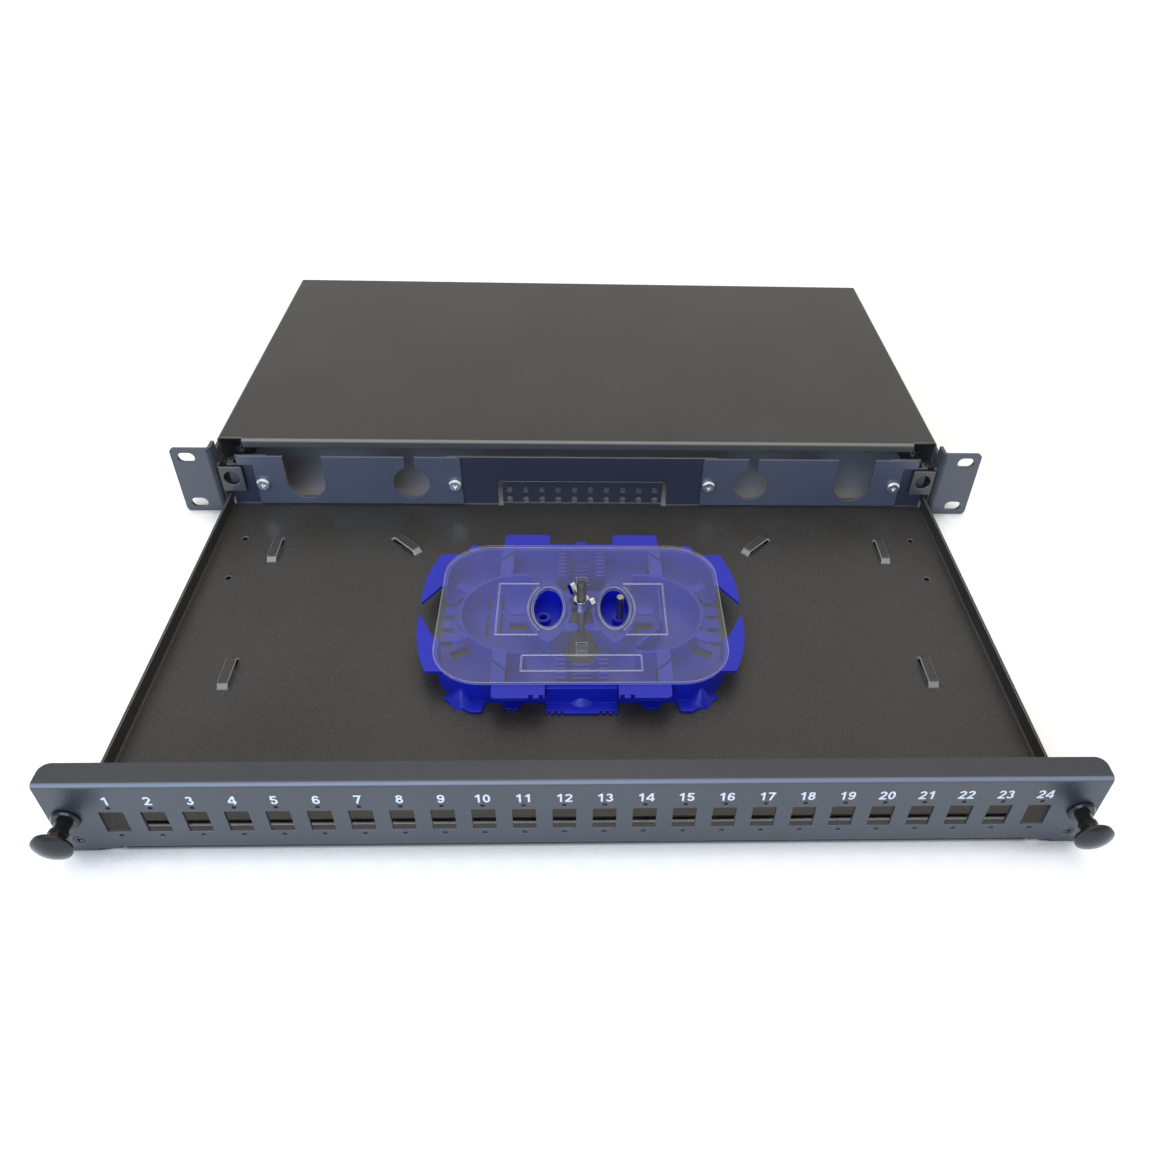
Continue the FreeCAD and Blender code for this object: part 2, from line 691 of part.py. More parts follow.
def drawer_tray():
    path = [(-TRAY_HALF, TRAY_WALL_TOP), (-TRAY_HALF, TRAY_LOW),
            (TRAY_HALF, TRAY_LOW), (TRAY_HALF, TRAY_WALL_TOP)]
    channel = prism(folded(path, SHEET), "y", BEZEL_BACK + FOLD, WALL_BACK - FOLD)
    cuts = [front_gap()]
    bridges = []
    for x, y, turn in lance_places():
        cuts += both_sides(turned_about(lance_cut(), turn, x, y))
        bridges += both_sides(turned_about(lance_bridge(), turn, x, y))
    for y in FLOOR_HOLE_Y:
        hole = rod(TRAY_HALF - FLOOR_HOLE_INSET, WALL_Y - y, 0, FLOOR_HOLE, 2 * TRAY_FLOOR, V(0, 0, 1))
        cuts += both_sides(hole)
    floor = channel.cut(cuts)
    return joined([floor, rear_wall(), tie_strip()] + both_sides(right_tray_tab()) + bridges)


def port_places():
    return [(k - (PORT_COUNT - 1) / 2) * PORT_PITCH for k in range(PORT_COUNT)]


def front_bezel():
    """Folded front with the port windows, a top flange and a shorter bottom flange."""
    low = TRAY_WALL_TOP
    upper_path = [(BEZEL_Y + BEZEL_TOP_FLANGE, BEZEL_TOP), (BEZEL_Y, BEZEL_TOP), (BEZEL_Y, low)]
    upper = prism(folded(upper_path, SHEET), "x", -BEZEL_HALF, BEZEL_HALF)
    back = BEZEL_Y + BEZEL_TOP_FLANGE
    plan = [(-BEZEL_HALF, BEZEL_Y), (BEZEL_HALF, BEZEL_Y),
            (BEZEL_HALF, back, BEZEL_FLANGE_ROUND), (-BEZEL_HALF, back, BEZEL_FLANGE_ROUND)]
    upper = upper.common(prism(plan, "z", 0, 2 * BEZEL_TOP))
    lower_path = [(BEZEL_Y, low), (BEZEL_Y, TRAY_LOW), (BEZEL_Y + BEZEL_BOTTOM_FLANGE, TRAY_LOW)]
    flange_half = ARM_INNER - ARM_GAP
    lower = prism(folded(lower_path, SHEET), "x", -flange_half, flange_half)
    plain = block(flange_half, FOOT_HALF, BEZEL_Y, BEZEL_BACK, TRAY_LOW, low)
    foot_corners = [(FOOT_HALF, BEZEL_REVEAL, EDGE_ROUND / 2), (BEZEL_HALF, BEZEL_REVEAL, EDGE_ROUND),
                    (BEZEL_HALF, low), (FOOT_HALF, low)]
    foot = prism(foot_corners, "y", BEZEL_Y, BEZEL_BACK)
    cuts = []
    for x in port_places():
        cuts.append(block(x - PORT_WIDTH / 2, x + PORT_WIDTH / 2, BEZEL_Y - SHEET, BEZEL_BACK + SHEET,
                          PORT_Z - PORT_HEIGHT / 2, PORT_Z + PORT_HEIGHT / 2))
        for side in (-1, 1):
            z = PORT_Z + side * PORT_SCREW_SPAN / 2
            cuts.append(rod(x, BEZEL_Y - SHEET, z, PORT_SCREW_HOLE, 3 * SHEET, V(0, 1, 0)))
    sleeve_hole = GROMMET_SLEEVE + 2 * SEAT_GAP
    cuts += both_sides(rod(LATCH_X, BEZEL_Y - SHEET, LATCH_Z, sleeve_hole, 3 * SHEET, V(0, 1, 0)))
    cuts += both_sides(countersunk_cut(LATCH_X, BEZEL_Y, BEZEL_SCREW_Z, V(0, 1, 0), M3_HEAD, M3, SHEET))
    return joined([upper, lower] + both_sides(plain) + both_sides(foot)).cut(cuts)


def bezel_screws():
    length = 2 * SHEET + M3_NUT_DEPTH
    screw = countersunk_screw(LATCH_X, BEZEL_Y, BEZEL_SCREW_Z, V(0, 1, 0), M3_HEAD, M3, length)
    return Part.makeCompound(both_sides(screw))


def bezel_nuts():
    nut = hex_nut(LATCH_X, BEZEL_BACK + SHEET, BEZEL_SCREW_Z, V(0, 1, 0), M3, M3_NUT, M3_NUT_DEPTH)
    return Part.makeCompound(both_sides(nut))


def gland_screw_places():
    right = [GLAND_INNER + GLAND_SCREW_INSET, GLAND_OUTER - GLAND_SCREW_INSET]
    return right + [-x for x in right]


def right_gland_plate():
    """Cable-entry plate: a keyhole, an open slot, and an end notched round the latch tab."""
    low = TRAY_FLOOR + BEND
    outer = WALL_HALF - GLAND_END_GAP
    ear_low = TAB_HIGH + PASS_GAP
    corners = [(GLAND_INNER, low), (GLAND_OUTER, low), (GLAND_OUTER, ear_low), (outer, ear_low),
               (outer, WALL_TOP, EDGE_ROUND), (GLAND_INNER, WALL_TOP, EDGE_ROUND)]
    plate = prism(corners, "y", PLATE_Y, WALL_Y)
    front = PLATE_Y - SHEET
    depth = 3 * SHEET
    neck = KEYHOLE_NECK / 2
    slot = CABLE_SLOT_WIDTH / 2
    cuts = [rod(KEYHOLE_X, front, ENTRY_Z, KEYHOLE_BORE, depth, V(0, 1, 0)),
            block(KEYHOLE_X - neck, KEYHOLE_X + neck, front, front + depth, ENTRY_Z, 2 * WALL_TOP),
            rod(CABLE_SLOT_X, front, ENTRY_Z, CABLE_SLOT_WIDTH, depth, V(0, 1, 0)),
            block(CABLE_SLOT_X - slot, CABLE_SLOT_X + slot, front, front + depth, ENTRY_Z, 2 * WALL_TOP)]
    for x in gland_screw_places():
        cuts.append(rod(x, front, GLAND_SCREW_Z, M4 + 2 * SEAT_GAP, depth, V(0, 1, 0)))
    return plate.cut(cuts)


def gland_screws():
    length = 2 * SHEET + M4_NUT_DEPTH
    return Part.makeCompound([pan_screw(x, PLATE_Y, GLAND_SCREW_Z, length) for x in gland_screw_places()])


def gland_nuts():
    nuts = []
    for x in gland_screw_places():
        nuts.append(hex_nut(x, WALL_BACK, GLAND_SCREW_Z, V(0, 1, 0), M4, M4_NUT, M4_NUT_DEPTH))
    return Part.makeCompound(nuts)


# Plunger latches

def right_grommet():
    """Split sleeve that snaps into the bezel and passes through the latch tab."""
    bore = PLUNGER_STEM / 2 + SEAT_GAP
    sleeve = GROMMET_SLEEVE / 2
    collar = GROMMET_COLLAR / 2
    front = BEZEL_Y - GROMMET_COLLAR_DEPTH
    tip = BEZEL_Y + GROMMET_REACH
    profile = [(bore, front), (collar - GROMMET_BEVEL, front), (collar, front + GROMMET_BEVEL),
               (collar, BEZEL_Y), (sleeve, BEZEL_Y), (sleeve, tip - GROMMET_COLLAR_DEPTH),
               ((bore + sleeve) / 2, tip), (bore, tip)]
    body = turned(profile, LATCH_X, LATCH_Z)
    half = GROMMET_SLIT / 2
    start = BEZEL_BACK + SHEET
    slits = [block(LATCH_X - collar, LATCH_X + collar, start, tip + SHEET, LATCH_Z - half, LATCH_Z + half),
             block(LATCH_X - half, LATCH_X + half, start, tip + SHEET, LATCH_Z - collar, LATCH_Z + collar)]
    return body.cut(slits)


def right_plunger():
    """Push knob: a domed head, a neck, a stop ring and a stem that runs in the grommet."""
    stem = PLUNGER_STEM / 2
    neck = PLUNGER_NECK / 2
    ring = PLUNGER_RING / 2
    tip = BEZEL_Y + GROMMET_REACH - PLUNGER_TIP_INSET
    ring_back = BEZEL_Y - GROMMET_COLLAR_DEPTH - PLUNGER_TRAVEL - SEAT_GAP
    ring_front = ring_back - PLUNGER_RING_DEPTH
    head_back = ring_front - PLUNGER_NECK_DEPTH
    head_front = head_back - PLUNGER_HEAD_DEPTH
    profile = [(0, tip), (stem - PLUNGER_BEVEL, tip), (stem, tip - PLUNGER_BEVEL), (stem, ring_back),
               (ring, ring_back), (ring, ring_front), (neck, ring_front), (neck, head_back), (0, head_back)]
    disc = rod(LATCH_X, head_front, LATCH_Z, PLUNGER_HEAD, PLUNGER_HEAD_DEPTH, V(0, 1, 0))
    dome = Part.makeSphere(PLUNGER_DOME, V(LATCH_X, head_front + PLUNGER_DOME, LATCH_Z))
    head = disc.common(dome).Solids[0]
    return joined([head, turned(profile, LATCH_X, LATCH_Z)])


# Cassette: modelled about its own centre, then set on the tray

def lens(half_width, half_length, low, high):
    """Pointed oval, the common part of two discs."""
    radius = (half_length ** 2 + half_width ** 2) / (2 * half_width)
    offset = radius - half_width
    discs = [Part.makeCylinder(radius, high - low, V(side * offset, 0, low)) for side in (-1, 1)]
    return discs[0].common(discs[1])


def lens_reach(half_width, half_length, along):
    """Half-width of a pointed oval at a distance along it from its middle."""
    radius = (half_length ** 2 + half_width ** 2) / (2 * half_width)
    return math.sqrt(radius ** 2 - along ** 2) - radius + half_width


def cassette_tub():
    """Floor, rim and what stands outside it, open at both ends where the fibre enters over a comb."""
    inner_u = HALF_U - CASSETTE_WALL
    inner_v = HALF_V - CASSETTE_WALL
    inner_corner = CASSETTE_CORNER - CASSETTE_WALL
    outside = HALF_U + CASSETTE_WALL
    above = 2 * CASSETTE_TOP
    solid = prism(rounded_rect(HALF_U, HALF_V, CASSETTE_CORNER), "z", CASSETTE_LOW, CASSETTE_TOP)
    rear_fin = right_fin(1, REAR_FIN_TIP_V, REAR_FIN_SHOULDER, REAR_FIN_INSET)
    front_fin = right_fin(-1, FRONT_FIN_TIP_V, FRONT_FIN_SHOULDER, FRONT_FIN_INSET)
    flanges = cassette_rim_tabs() + both_sides(rear_fin) + both_sides(front_fin)
    tub = joined([solid] + flanges + cassette_feet() + cassette_lugs())
    hollow = prism(rounded_rect(inner_u, inner_v, inner_corner), "z", CASSETTE_DECK, above)
    entry = block(inner_u - CASSETTE_WALL, outside, -ENTRY_HALF, ENTRY_HALF, CASSETTE_DECK, above)
    cuts = [hollow] + both_sides(entry)
    for k in range(COMB_COUNT):
        v = COMB_V + (k - (COMB_COUNT - 1) / 2) * COMB_PITCH
        notch = block(HALF_U - COMB_DEPTH, outside, v - COMB_WIDTH / 2, v + COMB_WIDTH / 2, 0, CASSETTE_DECK)
        cuts += both_sides(notch)
    return tub.cut(cuts)


def rim_flange(corners):
    return prism(corners, "z", CASSETTE_TOP - FLANGE, CASSETTE_TOP)


def right_fin(side, tip_v, shoulder_reach, shoulder_inset):
    """Pointed fin at the rim that guides fibre round a corner to the entry."""
    shoulder_v = HALF_V - shoulder_inset
    bulge_reach = (FIN_REACH + shoulder_reach) / 2 + FIN_BULGE
    tip = V(HALF_U + FIN_REACH, side * tip_v, 0)
    bulge = V(HALF_U + bulge_reach, side * (tip_v + shoulder_v) / 2, 0)
    shoulder = V(HALF_U + shoulder_reach, side * shoulder_v, 0)
    heel = V(HALF_U - FIN_ROOT, side * shoulder_v, 0)
    root = V(HALF_U - FIN_ROOT, side * ENTRY_HALF, 0)
    crotch = V(HALF_U + FIN_CROTCH, side * (ENTRY_HALF + FIN_CROTCH), 0)
    edges = [Part.Arc(tip, bulge, shoulder).toShape()]
    for start, end in ((shoulder, heel), (heel, root), (root, crotch), (crotch, tip)):
        edges.append(Part.LineSegment(start, end).toShape())
    fin = Part.Face(Part.Wire(edges)).extrude(V(0, 0, FLANGE))
    return fin.translated(V(0, 0, CASSETTE_TOP - FLANGE))


def cassette_rim_tabs():
    """Flat tabs at the rim: a ledge and two tabs behind, two notched tabs in front."""
    inside = HALF_V - CASSETTE_WALL
    low_u = TAB_U - TAB_WIDTH / 2
    high_u = TAB_U + TAB_WIDTH / 2
    rear = HALF_V + REAR_TAB_REACH
    front = -HALF_V - FRONT_TAB_REACH
    ledge_v = HALF_V + LEDGE_REACH
    rear_tab = rim_flange([(low_u, inside), (high_u, inside),
                           (high_u, rear, EDGE_ROUND), (low_u, rear, EDGE_ROUND)])
    front_tab = rim_flange([(low_u, front), (high_u, front, EDGE_ROUND), (high_u, -inside), (low_u, -inside)])
    notches = []
    for k in range(TAB_NOTCH_COUNT):
        u = low_u + TAB_NOTCH_FIRST + k * TAB_NOTCH_PITCH
        notches.append(block(u, u + TAB_NOTCH, front - TAB_NOTCH, front + TAB_NOTCH, 0, 2 * CASSETTE_TOP))
    front_tab = front_tab.cut(notches)
    ledge = rim_flange([(-high_u, inside), (high_u, inside), (high_u, ledge_v), (-high_u, ledge_v)])
    return [ledge] + both_sides(rear_tab) + both_sides(front_tab)


def cassette_feet():
    """Feet at the floor's front edge, the large ones stiffened by a cone against the wall."""
    low = CASSETTE_LOW
    high = CASSETTE_DECK
    front = -HALF_V
    inside = front + 2 * CASSETTE_WALL
    toe = front - FOOT_REACH
    foot_corners = [(HALF_U - FOOT_HEEL, inside), (HALF_U - FOOT_TOE_INNER, toe, FOOT_ROUND),
                    (HALF_U - FOOT_TOE_OUTER, toe, FOOT_ROUND),
                    (HALF_U - FOOT_TIP, front + FOOT_TIP_RISE, FOOT_ROUND),
                    (HALF_U - FOOT_TOE_OUTER, front + CASSETTE_CORNER / 2)]
    foot_cone = Part.makeCone(FOOT_CONE / 2, FOOT_CONE_TIP / 2, FOOT_CONE_HEIGHT,
                              V(HALF_U - FOOT_CONE_INSET, front + CASSETTE_WALL, low))
    foot = prism(foot_corners, "z", low, high).fuse(foot_cone)
    pad_toe = front - PAD_REACH
    pad = prism([(PAD_U - PAD_WIDTH / 2, inside), (PAD_U - PAD_TOE / 2, pad_toe),
                 (PAD_U + PAD_TOE / 2, pad_toe), (PAD_U + PAD_WIDTH / 2, inside)], "z", low, high)
    return both_sides(foot) + both_sides(pad) + front_bracket()


def front_bracket():
    """Toothed foot in the middle of the front edge, with its cone and the apron above it."""
    half = BRACKET_WIDTH / 2
    front = -HALF_V
    reach = front - BRACKET_REACH
    plate = block(-half, half, reach, front + CASSETTE_WALL, CASSETTE_LOW, CASSETTE_DECK)
    slots = []
    for k in range(TOOTH_SLOT_COUNT):
        u = half - TOOTH_SLOT_FIRST - k * TOOTH_SLOT_PITCH
        slot = block(u, u + TOOTH_SLOT, reach - TOOTH_SLOT, reach + TOOTH_SLOT, 0, 2 * CASSETTE_DECK)
        slots += both_sides(slot)
    cone = Part.makeCone(BRACKET_CONE / 2, BRACKET_CONE_TIP / 2, BRACKET_CONE_HEIGHT,
                         V(0, front + 2 * CASSETTE_WALL, CASSETTE_LOW))
    apron = block(-half, half, front - APRON, front + CASSETTE_WALL, CASSETTE_LOW, CASSETTE_TOP - FLANGE)
    return [plate.cut(slots), cone, apron]


def cassette_lugs():
    """Round lugs behind the rear wall, one in the middle and one at each corner."""
    low = CASSETTE_TOP - LUG_HEIGHT
    middle = rod(0, HALF_V + LUG / 2 - CASSETTE_WALL / 2, low, LUG, LUG_HEIGHT, V(0, 0, 1))
    corner = rod(HALF_U - LUG_INSET, HALF_V - CASSETTE_WALL / 2, low, LUG, LUG_HEIGHT, V(0, 0, 1))
    return [middle] + both_sides(corner)


def right_ring():
    """Curved wall that the spare fibre is wound round, open towards the middle."""
    outer = Part.makeCylinder(RING_RADIUS, FINGER_TOP - CASSETTE_LOW, V(RING_U, 0, CASSETTE_LOW))
    inner = Part.makeCylinder(RING_RADIUS - RING_WALL, 2 * CASSETTE_TOP, V(RING_U, 0, 0))
    reach = 2 * RING_RADIUS
    mouth = block(RING_U - reach, RING_MOUTH, -reach, reach, 0, 2 * CASSETTE_TOP)
    return outer.cut([inner, mouth])


def right_hub():
    shell = lens(HUB_HALF_WIDTH, HUB_HALF_LENGTH, CASSETTE_LOW, FINGER_TOP)
    inside = lens(HUB_HALF_WIDTH - RING_WALL, HUB_HALF_LENGTH - 2 * RING_WALL, 0, 2 * CASSETTE_TOP)
    return shell.cut(inside).translated(V(HUB_U, HUB_V, 0))


def finger_places():
    """Root and turn of the fibre-retaining fingers on the right half."""
    root = RING_RADIUS - RING_WALL
    places = []
    for angle in (-FINGER_ANGLE, FINGER_ANGLE):
        reach = math.radians(angle)
        places.append((RING_U + root * math.cos(reach), root * math.sin(reach), angle))
    places.append((HUB_U + HUB_HALF_WIDTH - RING_WALL, HUB_V, 0.0))
    return places


def finger(length):
    """Round-ended bar that starts at the origin and holds the fibre down."""
    half = FINGER_WIDTH / 2
    bar = block(0, length - half, -half, half, FINGER_TOP - FLANGE, FINGER_TOP)
    end = rod(length - half, 0, FINGER_TOP - FLANGE, FINGER_WIDTH, FLANGE, V(0, 0, 1))
    return bar.fuse(end).removeSplitter()


def middle_fingers():
    """Fingers that reach inward from the hubs over the middle opening."""
    along = MIDDLE_FINGER_SHARE * HUB_HALF_LENGTH
    root = HUB_U - lens_reach(HUB_HALF_WIDTH - RING_WALL / 2, HUB_HALF_LENGTH - RING_WALL, along)
    fingers = []
    for v in (HUB_V - along, HUB_V + along):
        fingers += both_sides(turned_about(finger(root - MIDDLE_FINGER_GAP), 180.0, root, v))
    return fingers


def finger_opening():
    """Opening in the floor that a mould needs under a finger."""
    half = FINGER_WIDTH / 2
    return block(RING_WALL / 2, FINGER_LENGTH, -half, half, 0, CASSETTE_DECK)


def bridge_spans():
    """Near and far ends of the bars that run from the ring to the rim, back and front."""
    near = math.sqrt((RING_RADIUS - RING_WALL) ** 2 - (BRIDGE_U - RING_U) ** 2)
    far = HALF_V - CASSETTE_WALL / 2
    return [(near, far), (-far, -near)]


def right_bridges():
    """Bars over the fibre from the ring to the rim, each with a slanting slit to let it in."""
    half = BRIDGE_WIDTH / 2
    rim = HALF_V - CASSETTE_WALL
    slit = block(-BRIDGE_WIDTH, BRIDGE_WIDTH, -BRIDGE_SLIT / 2, BRIDGE_SLIT / 2,
                 CASSETTE_DECK, 2 * CASSETTE_TOP)
    slits = [turned_about(slit, -BRIDGE_SLIT_ANGLE, BRIDGE_U, rim - BRIDGE_SLIT_BACK),
             turned_about(slit, BRIDGE_SLIT_ANGLE, BRIDGE_U, BRIDGE_SLIT_FRONT - rim)]
    bars = []
    for low, high in bridge_spans():
        bar = block(BRIDGE_U - half, BRIDGE_U + half, low, high, FINGER_TOP - FLANGE, FINGER_TOP)
        bars.append(bar.cut(slits))
    return bars


def floor_openings():
    """Openings in the cassette floor: under the fingers and bars, in the middle and for a label."""
    cuts = []
    for u, v, turn in finger_places():
        cuts += both_sides(turned_about(finger_opening(), turn, u, v))
    half = BRIDGE_WIDTH / 2
    for low, high in bridge_spans():
        cuts += both_sides(block(BRIDGE_U - half, BRIDGE_U + half, low + BRIDGE_OPENING_INSET,
                                 high - BRIDGE_OPENING_INSET, 0, CASSETTE_DECK))
    cuts.append(middle_opening())
    for u in LABEL_SLOT_U:
        for low, high in (LABEL_SLOT_FRONT, LABEL_SLOT_BACK):
            cuts.append(block(-u - LABEL_SLOT / 2, -u + LABEL_SLOT / 2, low, high, 0, CASSETTE_DECK))
    return cuts


def middle_opening():
    """Opening between the splice holders, cut round the two hubs."""
    end = SPLICE_START - MIDDLE_END_GAP
    opening = block(-MIDDLE_HALF, MIDDLE_HALF, -end, end, 0, CASSETTE_DECK)
    hub = lens(HUB_HALF_WIDTH + MIDDLE_EDGE, HUB_HALF_LENGTH + MIDDLE_EDGE, 0, CASSETTE_DECK)
    return opening.cut(both_sides(hub.translated(V(HUB_U, HUB_V, 0))))


def hub_bosses():
    """Drilled bosses on the floor inside the two hubs; the right one takes the stud."""
    boss = rod(STUD_U, STUD_V, CASSETTE_LOW, BOSS, CASSETTE_FLOOR + BOSS_HEIGHT, V(0, 0, 1))
    return both_sides(boss)


def hub_holes():
    return both_sides(rod(STUD_U, STUD_V, 0, STUD + 2 * SEAT_GAP, 2 * CASSETTE_TOP, V(0, 0, 1)))


def label_clip():
    """Slanting arm and stop that hold a label card inside the right ring."""
    half = CLIP_LENGTH / 2
    arm = block(-half, half, -CLIP_WALL / 2, CLIP_WALL / 2, CASSETTE_LOW, FINGER_TOP - CLIP_DROP)
    stop = block(CLIP_STOP_U - CLIP_WALL / 2, CLIP_STOP_U + CLIP_WALL / 2, CLIP_STOP_V[0], CLIP_STOP_V[1],
                 CASSETTE_LOW, FINGER_TOP - 2 * CLIP_DROP)
    return [turned_about(arm, CLIP_ANGLE, CLIP_U, CLIP_V), stop]


def cassette_base():
    walls = both_sides(right_ring()) + both_sides(right_hub()) + hub_bosses() + label_clip()
    tub = joined([cassette_tub()] + walls)
    tub = tub.cut(floor_openings() + hub_holes())
    tops = middle_fingers()
    for bar in right_bridges():
        tops += both_sides(bar)
    for u, v, turn in finger_places():
        tops += both_sides(turned_about(finger(FINGER_LENGTH), turn, u, v))
    return joined([tub] + tops).translated(V(CASSETTE_X, CASSETTE_Y, 0))


def splice_holder(turn):
    """Ribbed insert for splice sleeves beside the rear rim, or turned round beside the front one."""
    half = SPLICE_LENGTH / 2
    end = SPLICE_START + SPLICE_WIDTH
    base = block(-half, half, SPLICE_START, end, CASSETTE_DECK, CASSETTE_DECK + SPLICE_BASE)
    top = FINGER_TOP - SPLICE_TOP_GAP
    seat = CASSETTE_DECK + SPLICE_SEAT
    foot = SPLICE_SADDLE / 2 - (top - seat) / 2
    rib_face = [(-half, CASSETTE_DECK), (half, CASSETTE_DECK), (half, top), (SPLICE_SADDLE / 2, top),
                (foot, seat), (-foot, seat), (-SPLICE_SADDLE / 2, top), (-half, top)]
    pitch = (SPLICE_WIDTH - SPLICE_RIB) / (SPLICE_RIBS - 1)
    ribs = []
    for k in range(SPLICE_RIBS):
        near = SPLICE_START + k * pitch
        ribs.append(prism(rib_face, "y", near, near + SPLICE_RIB))
    return turned_about(joined([base] + ribs), turn, CASSETTE_X, CASSETTE_Y)


def cassette_stud():
    """Post that rises from the tray through the right hub and the lid's eye."""
    shoulder = TRAY_FLOOR + STUD_HEIGHT - STUD_BEVEL
    post = rod(STUD_U, STUD_V, TRAY_FLOOR, STUD, STUD_HEIGHT - STUD_BEVEL, V(0, 0, 1))
    tip = Part.makeCone(STUD / 2, STUD / 2 - STUD_BEVEL, STUD_BEVEL, V(STUD_U, STUD_V, shoulder))
    return joined([post, tip]).translated(V(CASSETTE_X, CASSETTE_Y, 0))


def centre_stud():
    """Threaded stud that rises from the tray through the cassette's middle and the lid."""
    top = LIP_LOW - CENTRE_STUD_DROP
    radius = CENTRE_STUD / 2
    shoulder = top - CENTRE_STUD_BEVEL
    post = Part.makeCylinder(radius, shoulder - TRAY_FLOOR, V(0, HUB_V, TRAY_FLOOR))
    tip = Part.makeCone(radius, radius - CENTRE_STUD_BEVEL, CENTRE_STUD_BEVEL, V(0, HUB_V, shoulder))
    return joined([post, tip]).translated(V(CASSETTE_X, CASSETTE_Y, 0))


def wing_nut():
    """Nut that clamps the lid on the threaded stud, with two raised wings."""
    body = Part.makeCone(NUT_BASE / 2, NUT_CROWN / 2, NUT_HEIGHT)
    face = [(0, WING_ROOT), (WING_ELBOW, WING_ELBOW_RISE, WING_ROUND),
            (WING_REACH, WING_RISE - WING_TIP_DROP, WING_ROUND),
            (WING_REACH - WING_TIP, WING_RISE, WING_ROUND), (CENTRE_STUD / 2, NUT_HEIGHT - WING_ROOT)]
    wing = prism(face, "y", -WING_WALL / 2, WING_WALL / 2)
    bore = Part.makeCylinder(CENTRE_STUD / 2 + SEAT_GAP, WING_RISE)
    nut = joined([body] + both_sides(wing)).cut(bore)
    nut.translate(V(0, 0, LID_TOP + SEAT_GAP))
    return turned_about(nut, WING_ANGLE, CASSETTE_X, CASSETTE_Y + HUB_V)


def lid_frame(low_u, high_u, low_v, high_v, near):
    """Thin raised line round a rectangle on the lid's top, hollow from near to its far side."""
    top = LID_TOP + LID_RIB
    line = LID_RIB_WIDTH
    outer = block(low_u, high_u, low_v, high_v, LID_TOP, top)
    inner = block(near, high_u - line, low_v + line, high_v - line, LID_TOP, top)
    return outer.cut(inner)


def lid_snap(v, side):
    """Hooked finger under the lid that catches between the hubs."""
    half = SNAP_WIDTH / 2
    low = CASSETTE_DECK + SNAP_CLEAR
    bar = SNAP_WALL / 2
    leg = block(-half, half, v - bar, v + bar, low, LID_LOW)
    barb_top = low + SNAP_BARB_HEIGHT
    barb = prism([(v, low), (v + side * (bar + SNAP_BARB), barb_top), (v, barb_top)], "x", -half, half)
    return leg.fuse(barb)


def lid_eyes(margin, low, high):
    """Oval columns over the two hubs, wider than the eyes by a margin."""
    edge = Part.Ellipse(V(0, 0, low), EYE_HALF_LENGTH + margin, EYE_HALF_WIDTH + margin).toShape()
    oval = Part.Face(Part.Wire([edge])).extrude(V(0, 0, high - low))
    return [turned_about(oval, 90.0, side * HUB_U, HUB_V) for side in (-1, 1)]


def cassette_lid():
    half_u = HALF_U + LID_OVERHANG
    half_v = HALF_V + LID_OVERHANG
    plate = prism(rounded_rect(half_u, half_v, CASSETTE_CORNER + LID_OVERHANG), "z", LID_LOW, LID_TOP)
    rims = lid_eyes(EYE_RIM, LID_LOW, LID_TOP + EYE_RIM_RISE)
    eyes = lid_eyes(0.0, 0.0, 2 * LID_TOP)
    stud_hole = rod(0, HUB_V, 0, CENTRE_STUD + 2 * PASS_GAP, 2 * LID_TOP, V(0, 0, 1))
    front_v = -HALF_V + NAME_FRAME_INSET
    name_half = NAME_FRAME_WIDTH / 2
    name_frame = lid_frame(-name_half, name_half, front_v, front_v + NAME_FRAME_DEPTH,
                           LID_RIB_WIDTH - name_half)
    side_inner = SIDE_FRAME_U - SIDE_FRAME_WIDTH / 2
    side_frame = lid_frame(side_inner, side_inner + SIDE_FRAME_WIDTH, -SIDE_FRAME_LENGTH / 2,
                           SIDE_FRAME_LENGTH / 2, side_inner - LID_RIB_WIDTH)
    snap_v = HUB_HALF_LENGTH + SNAP_WALL
    snaps = [lid_snap(HUB_V + snap_v, -1), lid_snap(HUB_V - snap_v, 1)]
    lid = joined([plate, name_frame] + both_sides(side_frame) + snaps + rims).cut(eyes + [stud_hole])
    return lid.translated(V(CASSETTE_X, CASSETTE_Y, 0))


PIECES = {
    "housing_shell": housing_shell(),
    "bottom_plate": bottom_plate(),
    "right_ear": right_ear(),
    "left_ear": mirrored(right_ear()),
    "ear_screws": ear_screws(),
    "ear_nuts": ear_nuts(),
    "drawer_tray": drawer_tray(),
    "front_bezel": front_bezel(),
    "bezel_screws": bezel_screws(),
    "bezel_nuts": bezel_nuts(),
    "right_gland_plate": right_gland_plate(),
    "left_gland_plate": mirrored(right_gland_plate()),
    "gland_screws": gland_screws(),
    "gland_nuts": gland_nuts(),
    "right_grommet": right_grommet(),
    "left_grommet": mirrored(right_grommet()),
    "right_plunger": right_plunger(),
    "left_plunger": mirrored(right_plunger()),
    "cassette_base": cassette_base(),
    "rear_splice_holder": splice_holder(0.0),
    "front_splice_holder": splice_holder(180.0),
    "cassette_stud": cassette_stud(),
    "centre_stud": centre_stud(),
    "cassette_lid": cassette_lid(),
    "wing_nut": wing_nut(),
}

os.makedirs("parts", exist_ok=True)
for name, piece in PIECES.items():
    lowered = piece.translated(V(0, 0, -EAR_HEIGHT / 2))
    lowered.exportStep("parts/" + name + ".step")
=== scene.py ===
import bpy
import math
from mathutils import Matrix, Vector


